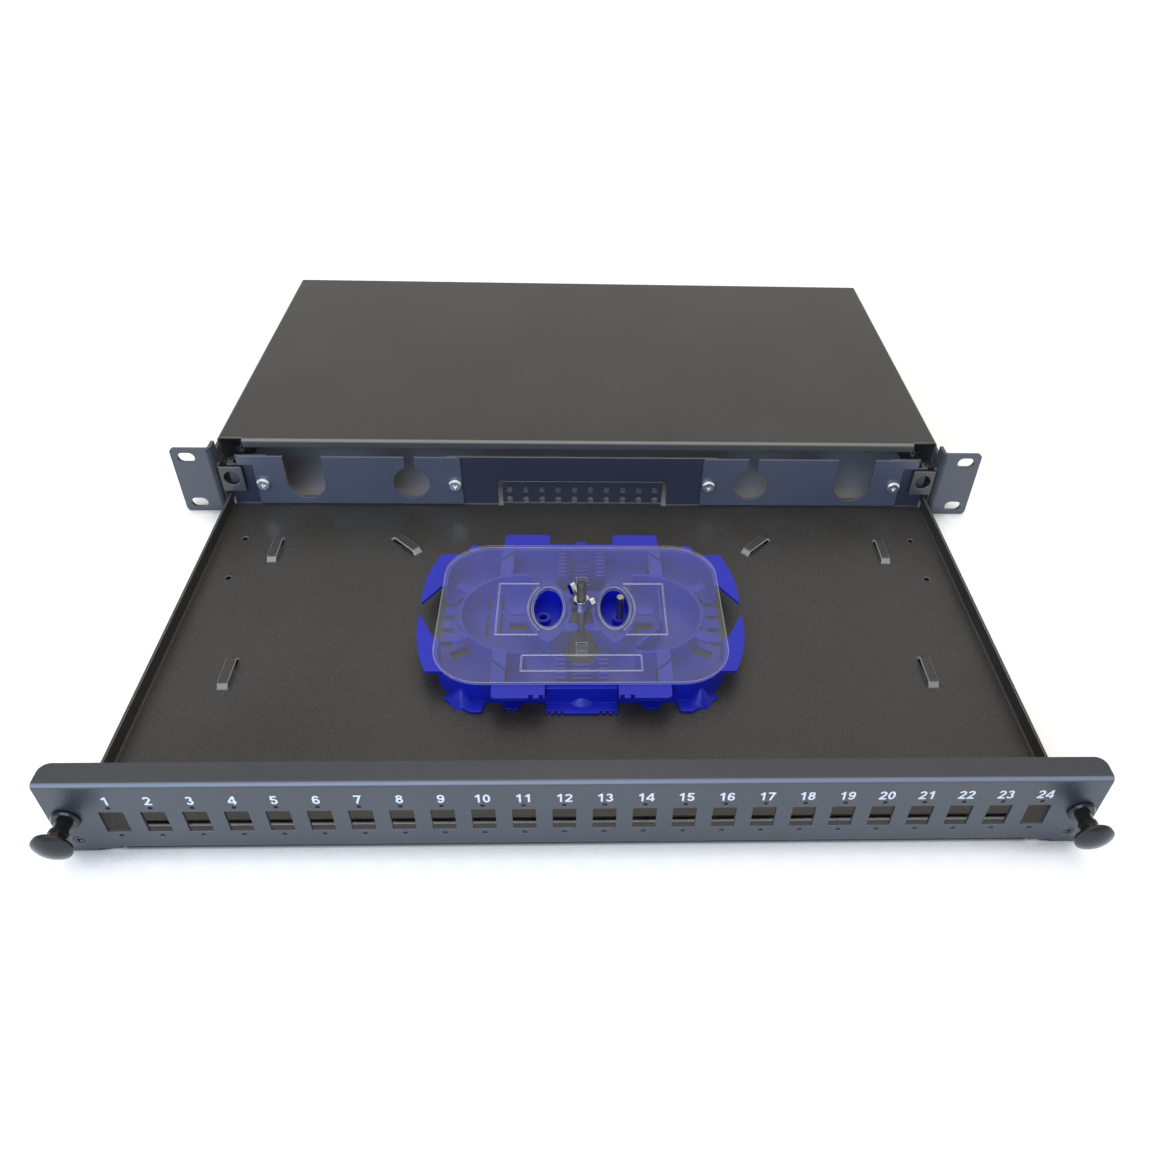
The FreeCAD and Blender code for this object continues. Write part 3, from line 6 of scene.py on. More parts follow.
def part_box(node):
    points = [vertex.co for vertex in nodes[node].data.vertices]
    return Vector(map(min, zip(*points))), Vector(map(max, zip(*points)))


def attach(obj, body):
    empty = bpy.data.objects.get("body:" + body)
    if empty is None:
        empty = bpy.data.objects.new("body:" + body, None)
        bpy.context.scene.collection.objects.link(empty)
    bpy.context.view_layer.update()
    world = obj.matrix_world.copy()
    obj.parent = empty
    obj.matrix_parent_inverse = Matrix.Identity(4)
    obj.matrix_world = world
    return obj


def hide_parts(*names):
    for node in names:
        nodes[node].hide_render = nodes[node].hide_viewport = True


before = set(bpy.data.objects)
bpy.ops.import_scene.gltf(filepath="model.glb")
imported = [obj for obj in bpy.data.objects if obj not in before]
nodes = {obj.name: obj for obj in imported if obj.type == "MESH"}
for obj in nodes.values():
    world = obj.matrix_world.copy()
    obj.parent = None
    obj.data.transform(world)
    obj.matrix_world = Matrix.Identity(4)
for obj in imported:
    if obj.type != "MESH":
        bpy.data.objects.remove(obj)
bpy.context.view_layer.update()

scene = bpy.context.scene
scene.view_settings.view_transform = "Standard"

# Sizes in metres, in the frame of the solids
HALF_HEIGHT = 0.02185
TRAY_FLOOR_TOP = 0.0027 - HALF_HEIGHT
# The tie lances stand on the tray's floor inside this box
LANCE_BOX = ((-0.195, -0.215, TRAY_FLOOR_TOP), (0.195, -0.020, TRAY_FLOOR_TOP + 0.0045))

BEZEL_Y = -0.244
PORTS = 24
PORT_PITCH = 0.01664
NUMBER_MIDDLE = 0.0335 - HALF_HEIGHT
NUMBER_HEIGHT = 0.0052
NUMBER_GAP = 0.0006
# The ink's height over the bezel, its depth below it, and the step from stroke to stroke
INK = 0.00006
INK_SUNK = 0.00002
INK_LAYER = 0.000006

THREAD_PITCH = 0.0008
THREAD_DEPTH = 0.00045
THREAD_ROWS = 6
THREAD_SIDES = 24
# A slope over 1 leaves the crests flat
THREAD_SLOPE = 1.35
# Depth of the chamfer at the stud's end, in thread depths
THREAD_END = 1.3

# Middle of a hub's oval opening, measured from the lid's middle
HUB_OUT = 0.0173
HUB_BACK = 0.0008
# A rib's place outside the opening, its radius, and its two ends along Y
RIB_OUT = 0.0106
RIB_BEND = 0.0281
RIB_FROM = -0.0175
RIB_TO = 0.0160
RIB_WIDTH = 0.0009
RIB_RISE = 0.00065
RIB_STEPS = 24
# The rounded top of a rib, as parts of its rise and width
RIB_SHOULDER = 0.4
RIB_CROWN = 0.25

# Most values of a noise texture lie between these
NOISE_LOW = 0.3
NOISE_HIGH = 0.7

# Sockets of a Mix node that mixes colours
MIX_FACTOR = 0
MIX_FIRST = 6
MIX_SECOND = 7
MIX_RESULT = 2


# Node helpers

class Nodes:
    """Short calls for the nodes of one tree."""

    def __init__(self, tree):
        self.tree = tree

    def add(self, kind, **values):
        node = self.tree.nodes.new(kind)
        for key, value in values.items():
            setattr(node, key, value)
        return node

    def link(self, output, target):
        self.tree.links.new(output, target)

    def feed(self, socket, value):
        """Link an output to a socket, or set the socket to a colour or a number."""
        if isinstance(value, bpy.types.NodeSocket):
            self.link(value, socket)
        elif isinstance(value, tuple):
            socket.default_value = value + (1.0,)
        else:
            socket.default_value = value

    def span(self, source, low, high, to_low=0.0, to_high=1.0):
        node = self.add("ShaderNodeMapRange")
        node.inputs["From Min"].default_value = low
        node.inputs["From Max"].default_value = high
        node.inputs["To Min"].default_value = to_low
        node.inputs["To Max"].default_value = to_high
        self.link(source, node.inputs["Value"])
        return node.outputs["Result"]

    def math(self, operation, first, second):
        node = self.add("ShaderNodeMath", operation=operation)
        self.feed(node.inputs[0], first)
        self.feed(node.inputs[1], second)
        return node.outputs["Value"]

    def blend(self, factor, first, second):
        node = self.add("ShaderNodeMix", data_type="RGBA")
        self.feed(node.inputs[MIX_FACTOR], factor)
        self.feed(node.inputs[MIX_FIRST], first)
        self.feed(node.inputs[MIX_SECOND], second)
        return node.outputs[MIX_RESULT]

    def split(self, vector):
        node = self.add("ShaderNodeSeparateXYZ")
        self.link(vector, node.inputs["Vector"])
        return node.outputs

    def background(self, colour, strength):
        node = self.add("ShaderNodeBackground")
        self.feed(node.inputs["Color"], colour)
        node.inputs["Strength"].default_value = strength
        return node.outputs["Background"]

    def mix_shaders(self, factor, first, second):
        node = self.add("ShaderNodeMixShader")
        self.link(factor, node.inputs[0])
        self.link(first, node.inputs[1])
        self.link(second, node.inputs[2])
        return node.outputs["Shader"]


class Shade(Nodes):
    """One material with a Principled shader."""

    def __init__(self, name):
        self.material = bpy.data.materials.new(name)
        self.material.use_nodes = True
        super().__init__(self.material.node_tree)
        self.shader = self.tree.nodes["Principled BSDF"]
        self.place = self.add("ShaderNodeTexCoord").outputs["Object"]

    def drive(self, socket_name, source):
        self.link(source, self.shader.inputs[socket_name])

    def set(self, **values):
        for key, value in values.items():
            self.shader.inputs[key.replace("_", " ")].default_value = value

    def noise(self, scale, detail=2.0, roughness=0.5, stretch=None):
        node = self.add("ShaderNodeTexNoise")
        node.inputs["Scale"].default_value = scale
        node.inputs["Detail"].default_value = detail
        node.inputs["Roughness"].default_value = roughness
        source = self.place
        if stretch:
            mapping = self.add("ShaderNodeMapping")
            mapping.inputs["Scale"].default_value = stretch
            self.link(self.place, mapping.inputs["Vector"])
            source = mapping.outputs["Vector"]
        self.link(source, node.inputs["Vector"])
        return node.outputs["Fac"]

    def mottled(self, dark, light, scale, detail, low=NOISE_LOW, high=NOISE_HIGH):
        """Colour that wanders between two tones."""
        return self.blend(self.span(self.noise(scale, detail), low, high), dark, light)

    def soft_edges(self, radius, start=0.97, full=0.75):
        """Normal that rounds the edges, and a mask that is strong along them."""
        bevel = self.add("ShaderNodeBevel", samples=6)
        bevel.inputs["Radius"].default_value = radius
        geometry = self.add("ShaderNodeNewGeometry")
        dot = self.add("ShaderNodeVectorMath", operation="DOT_PRODUCT")
        self.link(bevel.outputs["Normal"], dot.inputs[0])
        self.link(geometry.outputs["Normal"], dot.inputs[1])
        return bevel.outputs["Normal"], self.span(dot.outputs["Value"], start, full)

    def toward(self, normal, axis, low, high):
        """Mask that is strong where the normal looks along an axis."""
        return self.span(self.split(normal)[axis], low, high)

    def inside(self, low, high):
        """Mask of the places between two corners of a box."""
        place = self.split(self.place)
        mask = 1.0
        for axis, start, end in zip("XYZ", low, high):
            mask = self.math("MULTIPLY", mask, self.math("GREATER_THAN", place[axis], start))
            mask = self.math("MULTIPLY", mask, self.math("LESS_THAN", place[axis], end))
        return mask

    def rough(self, grain, low, high):
        """Roughness that follows the grain between two values."""
        self.drive("Roughness", self.span(grain, NOISE_LOW, NOISE_HIGH, low, high))

    def bump(self, height, distance, strength, normal):
        node = self.add("ShaderNodeBump")
        node.inputs["Strength"].default_value = strength
        node.inputs["Distance"].default_value = distance
        self.link(height, node.inputs["Height"])
        self.link(normal, node.inputs["Normal"])
        self.drive("Normal", node.outputs["Normal"])


# Powder coat: noise cells per metre, the spans of noise that show, and how much bare metal they show
COAT_MOTTLE = 14.0
COAT_GRAIN = 1700.0
COAT_SPECK = 2600.0
MOTTLE_SPAN = (0.35, 0.65)
GRAIN_SPAN = (0.45, 0.75)
SPECK_SPAN = (0.66, 0.80)
GRAIN_SHOWS = 0.07
SPECKS_SHOW = 0.18
COAT_ROUGHNESS = (0.30, 0.44)
# Spans of a normal along one axis, from where a mask starts to where it is full
FRONT_FACING = (-0.5, -0.9)
BEND_FACING_UP = (0.25, 0.5)
BEND_FACING_FRONT = (-0.25, -0.5)
EDGE_FACING_UP = (0.15, 0.7)
STEEP_FACING = (0.85, 0.60)

# How far the grain takes the roughness of plastic and of plated metal down and up
MOULDED_SPREAD = (0.05, 0.07)
PLATED_SPREAD = (0.06, 0.1)
EDGES_SHOW = 0.5

# Clear plastic on its faces and at its edges, and where it is scuffed
CLEAR_ALPHA = (0.12, 0.82)
SCUFF_SPAN = (0.4, 0.8)
CLEAR_ROUGHNESS = (0.05, 0.16)


def powder_coat(name, dark, light, edge, wear_and_highlight, gloss=0.5, edge_width=0.00045,
                front=None, bend=None, cut_highlight_box=None):
    """Fine textured coat; its upward edges lighten by a set amount, partly thin coat and partly painted
    highlight.

    It may have painted light on the front faces and a painted highlight on the bends between them and the
    top.
    Steep faces inside the cut box take the edge colour: a painted highlight on the cut sides.
    """
    shade = Shade(name)
    grain = shade.noise(COAT_GRAIN, roughness=0.6)
    speck = shade.noise(COAT_SPECK, detail=1.0)
    normal, edges = shade.soft_edges(edge_width)
    colour = shade.mottled(dark, light, COAT_MOTTLE, 4.0, *MOTTLE_SPAN)
    colour = shade.blend(shade.span(grain, *GRAIN_SPAN, to_high=GRAIN_SHOWS), colour, edge)
    colour = shade.blend(shade.span(speck, *SPECK_SPAN, to_high=SPECKS_SHOW), colour, edge)
    # Painted light: front faces take another colour in place of the light that falls on them
    if front:
        colour = shade.blend(shade.toward(normal, "Y", *FRONT_FACING), colour, front)
    # Painted highlight: the bends between the front faces and the top take a lighter colour
    if bend:
        slope = shade.math("MULTIPLY", shade.toward(normal, "Z", *BEND_FACING_UP),
                           shade.toward(normal, "Y", *BEND_FACING_FRONT))
        colour = shade.blend(slope, colour, bend)
    # Painted highlight: steep faces in the box, the lances' cut sides, take the edge colour
    if cut_highlight_box:
        cut_side_highlight = shade.math("MULTIPLY", shade.inside(*cut_highlight_box), shade.toward(normal, "Z", *STEEP_FACING))
        colour = shade.blend(cut_side_highlight, colour, edge)
    # Upward edges take the edge colour: partly thin coat, partly painted highlight from light above
    upward = shade.math("MULTIPLY", edges, shade.toward(normal, "Z", *EDGE_FACING_UP))
    colour = shade.blend(shade.math("MULTIPLY", upward, wear_and_highlight), colour, edge)
    shade.drive("Base Color", colour)
    shade.rough(grain, *COAT_ROUGHNESS)
    shade.set(Specular_IOR_Level=gloss)
    shade.bump(grain, distance=0.00012, strength=0.35, normal=normal)
    return shade.material


def moulded(name, dark, light, edge, roughness, gloss=0.5):
    """Moulded plastic with satin grain and lighter edges."""
    shade = Shade(name)
    grain = shade.noise(scale=900.0)
    normal, edges = shade.soft_edges(radius=0.00035)
    colour = shade.mottled(dark, light, scale=30.0, detail=3.0)
    shade.drive("Base Color", shade.blend(edges, colour, edge))
    down, up = MOULDED_SPREAD
    shade.rough(grain, roughness - down, roughness + up)
    shade.set(Specular_IOR_Level=gloss)
    shade.bump(grain, distance=0.00005, strength=0.15, normal=normal)
    return shade.material


def plated(name, dark, light, roughness, streak=None):
    """Plated metal with bright edges; a streak stretches its grain."""
    shade = Shade(name)
    grain = shade.noise(scale=1400.0, detail=3.0, roughness=0.6, stretch=streak)
    normal, edges = shade.soft_edges(radius=0.00025)
    colour = shade.mottled(dark, light, scale=160.0, detail=3.0)
    colour = shade.blend(shade.span(edges, 0.0, 1.0, to_high=EDGES_SHOW), colour, BRIGHT_EDGE)
    shade.drive("Base Color", colour)
    down, up = PLATED_SPREAD
    shade.rough(grain, roughness - down, roughness + up)
    shade.set(Metallic=1.0)
    shade.bump(grain, distance=0.00004, strength=0.2, normal=normal)
    return shade.material


def clear_sheet(name, dark, light, edge):
    """Clear plastic: a faint veil on the faces, bright lines where light leaves at the edges."""
    shade = Shade(name)
    scuff = shade.noise(scale=300.0, detail=4.0, roughness=0.6)
    normal, edges = shade.soft_edges(radius=0.0006, full=0.80)
    veil = shade.mottled(dark, light, scale=45.0, detail=3.0)
    shade.drive("Base Color", shade.blend(edges, veil, edge))
    shade.drive("Alpha", shade.span(edges, 0.0, 1.0, *CLEAR_ALPHA))
    shade.drive("Roughness", shade.span(scuff, *SCUFF_SPAN, *CLEAR_ROUGHNESS))
    shade.set(IOR=1.49)
    shade.bump(scuff, distance=0.00002, strength=0.1, normal=normal)
    return shade.material


def printed(name, dark, light):
    """Dull ink, a little uneven."""
    shade = Shade(name)
    shade.drive("Base Color", shade.mottled(dark, light, scale=900.0, detail=3.0))
    shade.set(Roughness=0.55)
    return shade.material


# Materials of the part
# Edge colours: bare metal in the coat's grain and specks, painted highlight on its edges and cut sides
BARE_AND_HIGHLIGHT = (0.45, 0.45, 0.44)
RUBBED_AND_HIGHLIGHT = (0.52, 0.51, 0.49)
BRIGHT_EDGE = (0.9, 0.9, 0.92)
# Painted light on the housing's front faces and a warm painted highlight on its bends
coat = powder_coat("powder_coat_black", (0.026, 0.0255, 0.0245), (0.034, 0.033, 0.032), BARE_AND_HIGHLIGHT,
                   wear_and_highlight=0.4, gloss=0.42, edge_width=0.0009,
                   front=(0.085, 0.081, 0.077), bend=(0.25, 0.225, 0.185))
# Painted cool light on the tray's front faces, and painted highlight on its lances' cut sides
tray_coat = powder_coat("powder_coat_tray", (0.028, 0.027, 0.0255), (0.037, 0.0355, 0.034), RUBBED_AND_HIGHLIGHT,
                        wear_and_highlight=0.85, gloss=0.42, edge_width=0.0008,
                        front=(0.037, 0.040, 0.062), cut_highlight_box=LANCE_BOX)
# The bottom plate's pale coat is painted light, in place of the light that reaches it through the openings
inner_coat_painted_light = powder_coat("powder_coat_inside_painted_light", (0.52, 0.50, 0.50), (0.60, 0.58, 0.58), BARE_AND_HIGHLIGHT,
                         wear_and_highlight=0.4, gloss=0.42)
# The bezel's coat is bluer, partly painted cool light, with a painted highlight on its top bend
bezel_coat = powder_coat("powder_coat_bezel", (0.029, 0.032, 0.040), (0.038, 0.041, 0.050),
                         (0.34, 0.35, 0.40), wear_and_highlight=0.15, bend=(0.19, 0.205, 0.26))
# The ears' lighter, bluer coat is painted sheen on the same black coat
ear_coat_painted_light = powder_coat("powder_coat_ears_painted_light", (0.068, 0.071, 0.087), (0.083, 0.086, 0.105), BARE_AND_HIGHLIGHT, wear_and_highlight=0.3)
# The gland plates' lighter, bluer coat is painted light on the same black coat
plate_coat_painted_light = powder_coat("powder_coat_plates_painted_light", (0.075, 0.081, 0.115), (0.092, 0.099, 0.140), BARE_AND_HIGHLIGHT, wear_and_highlight=0.75)
blue = moulded("blue_moulding", (0.003, 0.010, 0.42), (0.005, 0.015, 0.50), (0.04, 0.07, 0.72),
               roughness=0.36)
nylon = moulded("black_nylon", (0.010, 0.010, 0.011), (0.015, 0.015, 0.016), (0.03, 0.03, 0.032),
                roughness=0.2, gloss=0.33)
zinc = plated("bright_zinc", (0.76, 0.81, 0.90), (0.88, 0.92, 0.98), roughness=0.24)
chrome = plated("bright_chrome", (0.58, 0.58, 0.60), (0.72, 0.72, 0.74), roughness=0.16)
steel = plated("grey_steel", (0.30, 0.295, 0.28), (0.42, 0.415, 0.40), roughness=0.34,
               streak=(1.0, 1.0, 6.0))
thread_steel = plated("dark_thread_steel", (0.07, 0.07, 0.073), (0.12, 0.12, 0.125), roughness=0.34)
black_zinc = plated("black_zinc", (0.035, 0.036, 0.04), (0.06, 0.062, 0.068), roughness=0.34)
clear = clear_sheet("clear_plastic", (0.37, 0.37, 0.39), (0.44, 0.44, 0.46), (0.95, 0.95, 0.98))
ink = printed("white_ink", (0.74, 0.75, 0.77), (0.86, 0.86, 0.86))

FINISH = {
    "housing_shell": coat, "bottom_plate": inner_coat_painted_light, "left_ear": ear_coat_painted_light, "right_ear": ear_coat_painted_light,
    "ear_screws": black_zinc, "ear_nuts": zinc, "drawer_tray": tray_coat, "front_bezel": bezel_coat,
    "bezel_screws": black_zinc, "bezel_nuts": zinc, "left_gland_plate": plate_coat_painted_light,
    "right_gland_plate": plate_coat_painted_light, "gland_screws": zinc, "gland_nuts": zinc,
    "left_grommet": nylon, "right_grommet": nylon, "left_plunger": nylon, "right_plunger": nylon,
    "cassette_base": blue, "rear_splice_holder": blue, "front_splice_holder": blue,
    "cassette_stud": steel, "centre_stud": thread_steel, "cassette_lid": clear, "wing_nut": chrome,
}
for name, material in FINISH.items():
    slots = nodes[name].material_slots
    if not slots:
        nodes[name].data.materials.append(material)
    for slot in slots:
        slot.material = material


def new_piece(name, verts, faces, material):
    """Mesh object in the scene, not yet on a body."""
    mesh = bpy.data.meshes.new(name)
    mesh.from_pydata(verts, [], faces)
    mesh.materials.append(material)
    piece = bpy.data.objects.new(name, mesh)
    scene.collection.objects.link(piece)
    return piece


def tube_faces(rows, count):
    """Faces of a closed tube over rows of points, with a cap at each end."""
    faces = []
    for i in range(rows - 1):
        for j in range(count):
            a = i * count + j
            b = i * count + (j + 1) % count
            faces.append((a, b, b + count, a + count))
    faces.append(tuple(reversed(range(count))))
    faces.append(tuple((rows - 1) * count + j for j in range(count)))
    return faces


# Printed port numbers: strokes in a box one unit high, drawn as flat ribbons
STROKE = 0.165
WIDE = 0.58
MIDDLE = WIDE / 2
EDGE = STROKE / 2
TOP = 1.0 - EDGE
SIDE = MIDDLE - EDGE
# Degrees between the points of an arc, and its fewest steps
ARC_STEP = 15
ARC_LEAST_STEPS = 4
# Sharper bends than this are not mitred in full
MITRE_LEAST = 0.5
# A stroke whose ends are this near each other is a ring
RING_GAP = 1e-6
# Points at each step of a stroke: front and back of its left and right border
STEP_POINTS = 4


def arc(centre_x, centre_y, radius_x, radius_y, start, end):
    """Points along part of an ellipse, from one angle to another in degrees."""
    steps = max(ARC_LEAST_STEPS, int(abs(end - start) / ARC_STEP))
    points = []
    for k in range(steps + 1):
        angle = math.radians(start + (end - start) * k / steps)
        points.append((centre_x + radius_x * math.cos(angle), centre_y + radius_y * math.sin(angle)))
    return points


def half_turn(strokes):
    """A digit's strokes turned upside down within its box."""
    return [[(WIDE - x, 1.0 - y) for x, y in stroke] for stroke in strokes]


SIX = [arc(MIDDLE, 0.31, SIDE, 0.31 - EDGE, 180, -180),
       arc(MIDDLE + 0.02, 0.50, SIDE + 0.02, 0.50 - EDGE, 190, 35)]
DIGITS = {
    "0": [arc(MIDDLE, 0.5, SIDE, 0.5 - EDGE, 90, -270)],
    "1": [[(0.38, 0.0), (0.38, 1.0)], [(0.10, 0.72), (0.24, 0.78), (0.34, 0.92)]],
    "2": [arc(MIDDLE, 0.70, SIDE, 0.30 - EDGE, 170, -40) + [(EDGE + 0.04, EDGE + 0.05)],
          [(0.0, EDGE), (WIDE, EDGE)]],
    "3": [arc(MIDDLE - 0.02, 0.74, SIDE - 0.03, 0.26 - EDGE, 165, -90),
          arc(MIDDLE - 0.01, 0.30, SIDE, 0.30 - EDGE, 90, -165)],
    "4": [[(0.46, 0.0), (0.46, 1.0)], [(0.43, 0.95), (0.03, 0.34)], [(-0.02, 0.27), (WIDE + 0.06, 0.27)]],
    "5": [[(0.53, TOP), (0.14, TOP), (0.09, 0.50)], arc(MIDDLE - 0.01, 0.33, SIDE, 0.33 - EDGE, 140, -165)],
    "6": SIX,
    "7": [[(0.0, TOP), (WIDE - EDGE, TOP), (0.32, 0.45), (0.20, 0.0)]],
    "8": [arc(MIDDLE, 0.74, SIDE - 0.03, 0.26 - EDGE, 90, -270),
          arc(MIDDLE, 0.30, SIDE, 0.30 - EDGE, 90, -270)],
    "9": half_turn(SIX),
}


def ribbon(points):
    """Left and right borders of a stroke, mitred at its bends."""
    closed = math.dist(points[0], points[-1]) < RING_GAP
    left = []
    right = []
    for k, (x, y) in enumerate(points):
        ahead = points[k + 1] if k + 1 < len(points) else (points[1] if closed else points[k])
        behind = points[k - 1] if k > 0 else (points[-2] if closed else points[0])
        to_here = Vector((x - behind[0], y - behind[1]))
        onward = Vector((ahead[0] - x, ahead[1] - y))
        if to_here.length == 0:
            to_here = onward
        if onward.length == 0:
            onward = to_here
        across = to_here.normalized() + onward.normalized()
        across = Vector((-across.y, across.x)).normalized()
        bend = across.dot(Vector((-onward.y, onward.x)).normalized())
        reach = across * (EDGE / max(bend, MITRE_LEAST))
        left.append((x + reach.x, y + reach.y))
        right.append((x - reach.x, y - reach.y))
    return left, right


def number_shape(text, middle_x):
    """Points and faces of one number's thin raised ink, centred over its window."""
    verts = []
    faces = []
    gap = NUMBER_GAP / NUMBER_HEIGHT
    step = WIDE + gap
    first = -(len(text) * step - gap) / 2
    for place, digit in enumerate(text):
        for layer, stroke in enumerate(DIGITS[digit]):
            left, right = ribbon(stroke)
            front = BEZEL_Y - INK - layer * INK_LAYER
            base = len(verts)
            for border_points in zip(left, right):
                for x, y in border_points:
                    across = middle_x + (first + place * step + x) * NUMBER_HEIGHT
                    up = NUMBER_MIDDLE + (y - 0.5) * NUMBER_HEIGHT
                    verts.append((across, front, up))
                    verts.append((across, BEZEL_Y + INK_SUNK, up))
            for k in range(len(left) - 1):
                a = base + STEP_POINTS * k
                b = a + STEP_POINTS
                faces += [(a, a + 2, b + 2, b), (a, b, b + 1, a + 1), (a + 2, a + 3, b + 3, b + 2)]
            last = base + STEP_POINTS * (len(left) - 1)
            faces += [(base, base + 1, base + 3, base + 2), (last, last + 2, last + 3, last + 1)]
    return verts, faces


for k in range(PORTS):
    verts, faces = number_shape(str(k + 1), (k - (PORTS - 1) / 2) * PORT_PITCH)
    piece = new_piece("port_number_%02d" % (k + 1), verts, faces, ink)
    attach(piece, "drawer")


# Screw thread of the centre stud

def thread_radius(height, turn, high, radius):
    """Radius of the thread at a height, at a part of one turn around the stud."""
    phase = (height / THREAD_PITCH - turn) % 1.0
    crest = 1.0 - abs(2.0 * phase - 1.0)
    shape = radius - THREAD_DEPTH * (1.0 - min(1.0, THREAD_SLOPE * crest))
    return min(shape, radius - THREAD_DEPTH * THREAD_END + (high - height))


def threaded_stud():
    low, high = (Vector(corner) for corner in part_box("centre_stud"))
    radius = (high.x - low.x) / 2
    middle = (low + high) / 2
    rows = int((high.z - low.z) / THREAD_PITCH * THREAD_ROWS)
    verts = []
    for i in range(rows + 1):
        z = low.z + (high.z - low.z) * i / rows
        for j in range(THREAD_SIDES):
            angle = 2 * math.pi * j / THREAD_SIDES
            reach = thread_radius(z, j / THREAD_SIDES, high.z, radius)
            verts.append((middle.x + reach * math.cos(angle), middle.y + reach * math.sin(angle), z))
    piece = new_piece("threaded_stud", verts, tube_faces(rows + 1, THREAD_SIDES), thread_steel)
    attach(piece, "drawer")
    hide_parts("centre_stud")


threaded_stud()


# Curved ribs of the lid, outside its two oval openings

def hub_rib(name, side):
    low, high = (Vector(corner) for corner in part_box("cassette_lid"))
    middle = (low + high) / 2
    crown = high.z
    shoulder = crown - RIB_SHOULDER * RIB_RISE
    foot = crown - RIB_RISE
    profile = [(-0.5, foot), (-0.5, shoulder), (-RIB_CROWN, crown),
               (RIB_CROWN, crown), (0.5, shoulder), (0.5, foot)]
    verts = []
    for k in range(RIB_STEPS + 1):
        along = RIB_FROM + (RIB_TO - RIB_FROM) * k / RIB_STEPS
        turn = math.asin(along / RIB_BEND)
        for across, z in profile:
            reach = RIB_BEND + across * RIB_WIDTH
            out = HUB_OUT + RIB_OUT - RIB_BEND + reach * math.cos(turn)
            verts.append((middle.x + side * out, middle.y + HUB_BACK + reach * math.sin(turn), z))
    faces = tube_faces(RIB_STEPS + 1, len(profile))
    if side < 0:
        faces = [tuple(reversed(face)) for face in faces]
    piece = new_piece(name, verts, faces, clear)
    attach(piece, "lid")


hub_rib("left_hub_rib", -1)
hub_rib("right_hub_rib", 1)


# Floor, light and camera
WHITE = (1.0, 1.0, 1.0)

FLOOR_REACH = 6.0
FLOOR_PAPER = ((0.80, 0.80, 0.80), (0.82, 0.82, 0.82))
FLOOR_SHADOW = (0.03, 0.03, 0.03)
FLOOR_MIRRORED = (0.80, 0.89, 1.0)
# How far off a thing still shades the floor, and how open the floor is in full shade and in none
SHELTER_REACH = 0.045
SHELTER_OPEN = (0.30, 0.62)
# The floor's own glow grows from near the part to far away
GLOW_DISTANCE = (0.3, 1.0)
GLOW_STRENGTH = (0.42, 0.80)

HORIZON_TINT = (0.72, 0.83, 1.0)
OVERHEAD_TINT = (1.0, 0.94, 0.84)
HORIZON_TO_OVERHEAD = (0.1, 0.7)
ROOM_STRENGTH = 0.5
MIRRORED_TINT = (1.0, 0.96, 0.90)
MIRRORED_STRENGTH = 0.8

# The photograph's camera: pixels of its square frame, degrees, and metres
PHOTO_SIZE = 1151
FOCAL_PIXELS = 951.1
SHIFT_PIXELS = (-41.1, 24.8)
CAMERA_PITCH = 41.09
CAMERA_YAW = 3.14
CAMERA_ROLL = -2.12
CAMERA_PLACE = (-0.0031, -0.4827, 0.32675)
SENSOR_WIDTH = 36.0
CLIP_START = 0.01


def seen_rays(tree, path):
    """Rays that see the background, from the eye or through glass."""
    return tree.math("MAXIMUM", path.outputs["Is Camera Ray"], path.outputs["Is Transmission Ray"])


def floor_piece():
    """Pale floor that stays dark close under the part and shows white around it."""
    shade = Shade("white_floor")
    shelter = shade.add("ShaderNodeAmbientOcclusion", samples=8)
    shelter.inputs["Distance"].default_value = SHELTER_REACH
    open_sky = shade.span(shelter.outputs["AO"], *SHELTER_OPEN)
    paper = shade.blend(shade.noise(scale=3.0), *FLOOR_PAPER)
    shade.drive("Base Color", shade.blend(open_sky, FLOOR_SHADOW, paper))

    distance = shade.add("ShaderNodeVectorMath", operation="LENGTH")
    shade.link(shade.place, distance.inputs[0])
    glow = shade.span(distance.outputs["Value"], *GLOW_DISTANCE, *GLOW_STRENGTH)
    glow = shade.math("MULTIPLY", glow, open_sky)
    path = shade.add("ShaderNodeLightPath")
    mirrored = shade.math("MULTIPLY", path.outputs["Is Glossy Ray"], open_sky)
    shade.drive("Emission Color", shade.blend(mirrored, WHITE, FLOOR_MIRRORED))
    glow = shade.math("MULTIPLY", seen_rays(shade, path), glow)
    shade.drive("Emission Strength", shade.math("MAXIMUM", glow, mirrored))
    shade.set(Roughness=0.9, Specular_IOR_Level=0.0)

    square = ((-1, -1), (1, -1), (1, 1), (-1, 1))
    corners = [(x * FLOOR_REACH, y * FLOOR_REACH, -HALF_HEIGHT) for x, y in square]
    piece = new_piece("floor", corners, [(0, 1, 2, 3)], shade.material)


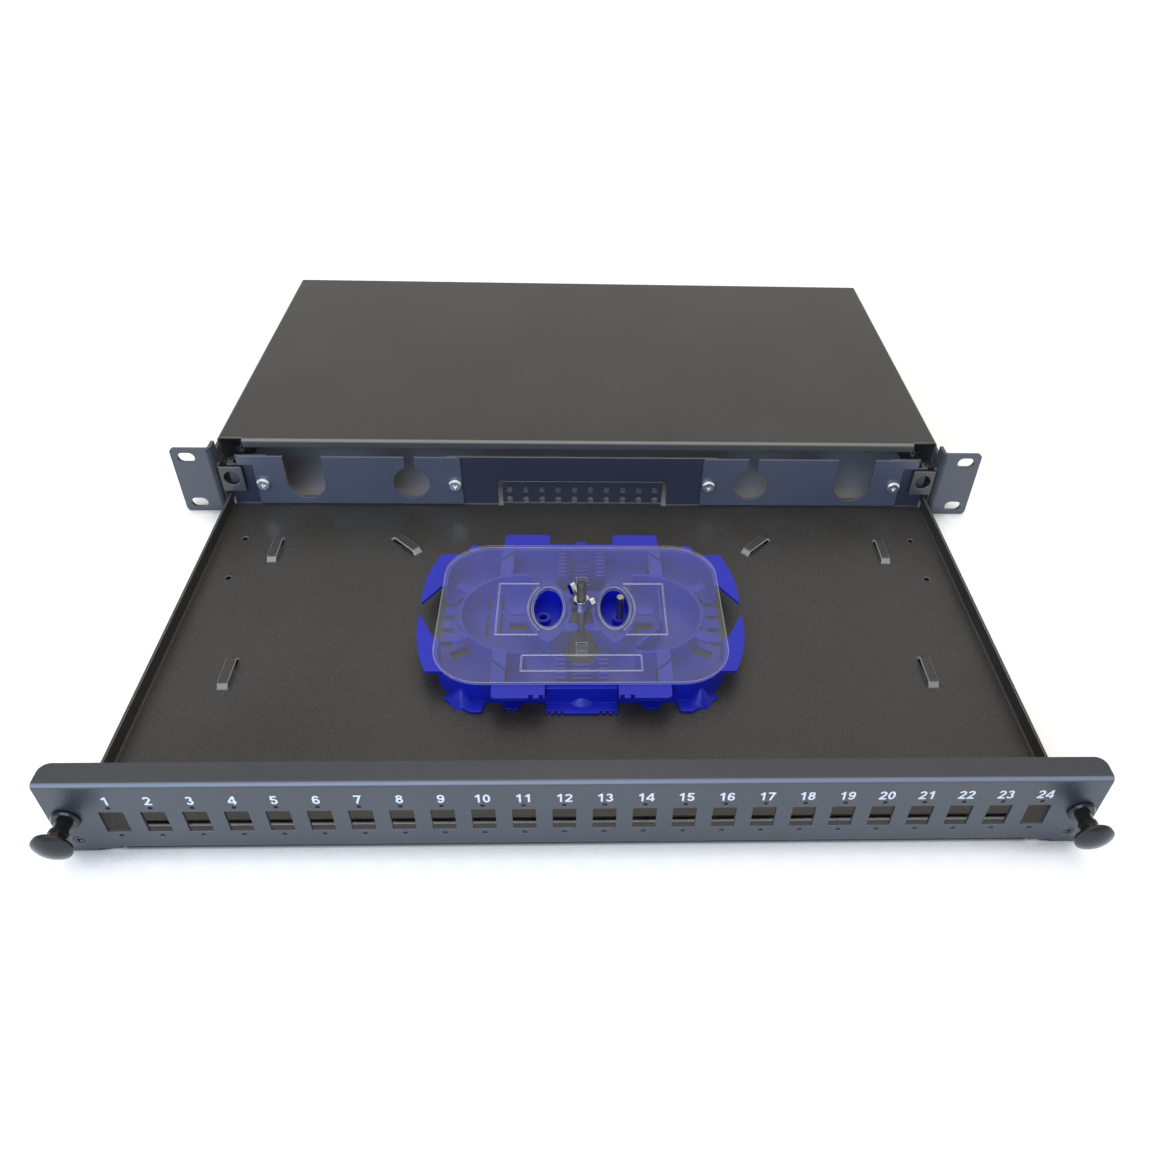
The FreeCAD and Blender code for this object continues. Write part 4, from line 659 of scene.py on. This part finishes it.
def world_light():
    """Soft room light, cool near the horizon and warm overhead; white where it is seen."""
    world = bpy.data.worlds.new("studio")
    scene.world = world
    world.use_nodes = True
    sky = Nodes(world.node_tree)
    sky.tree.nodes.clear()
    upward = sky.split(sky.add("ShaderNodeTexCoord").outputs["Generated"])["Z"]
    tint = sky.blend(sky.span(upward, *HORIZON_TO_OVERHEAD), HORIZON_TINT, OVERHEAD_TINT)
    room = sky.background(tint, ROOM_STRENGTH)
    mirrored = sky.background(MIRRORED_TINT, MIRRORED_STRENGTH)
    path = sky.add("ShaderNodeLightPath")
    unseen = sky.mix_shaders(path.outputs["Is Glossy Ray"], room, mirrored)
    light = sky.mix_shaders(seen_rays(sky, path), unseen, sky.background(WHITE, 1.0))
    sky.link(light, sky.add("ShaderNodeOutputWorld").inputs["Surface"])


def lamp(name, place, target, width, depth, power, colour):
    """Rectangular lamp that looks at its target."""
    light = bpy.data.lights.new(name, "AREA")
    light.shape = "RECTANGLE"
    light.size = width
    light.size_y = depth
    light.energy = power
    light.color = colour
    piece = bpy.data.objects.new(name, light)
    scene.collection.objects.link(piece)
    piece.location = place
    piece.rotation_euler = (Vector(target) - Vector(place)).to_track_quat("-Z", "Y").to_euler()


def photo_camera():
    """Camera that lays the render over the photograph."""
    pitch = math.radians(CAMERA_PITCH)
    yaw = math.radians(CAMERA_YAW)
    roll = math.radians(CAMERA_ROLL)
    forward = Vector((math.cos(pitch) * math.sin(yaw), math.cos(pitch) * math.cos(yaw), -math.sin(pitch)))
    level = Vector((math.cos(yaw), -math.sin(yaw), 0.0))
    raised = Vector((math.sin(pitch) * math.sin(yaw), math.sin(pitch) * math.cos(yaw), math.cos(pitch)))
    right = level * math.cos(roll) - raised * math.sin(roll)
    up = level * math.sin(roll) + raised * math.cos(roll)
    data = bpy.data.cameras.new("photo_camera")
    data.sensor_width = SENSOR_WIDTH
    data.lens = FOCAL_PIXELS / PHOTO_SIZE * SENSOR_WIDTH
    data.shift_x = SHIFT_PIXELS[0] / PHOTO_SIZE
    data.shift_y = SHIFT_PIXELS[1] / PHOTO_SIZE
    data.clip_start = CLIP_START
    camera = bpy.data.objects.new("photo_camera", data)
    scene.collection.objects.link(camera)
    turn = Matrix((right, up, -forward)).transposed()
    camera.matrix_world = Matrix.Translation(CAMERA_PLACE) @ turn.to_4x4()
    scene.camera = camera


floor_piece()
world_light()
lamp("ceiling_light", place=(0.0, 0.05, 1.3), target=(0.0, -0.05, 0.0),
     width=1.4, depth=1.2, power=7.0, colour=(1.0, 0.94, 0.83))
lamp("window_light", place=(-0.30, -1.25, 0.58), target=(0.0, -0.10, 0.0),
     width=1.0, depth=0.5, power=11.5, colour=(0.52, 0.71, 1.0))
photo_camera()
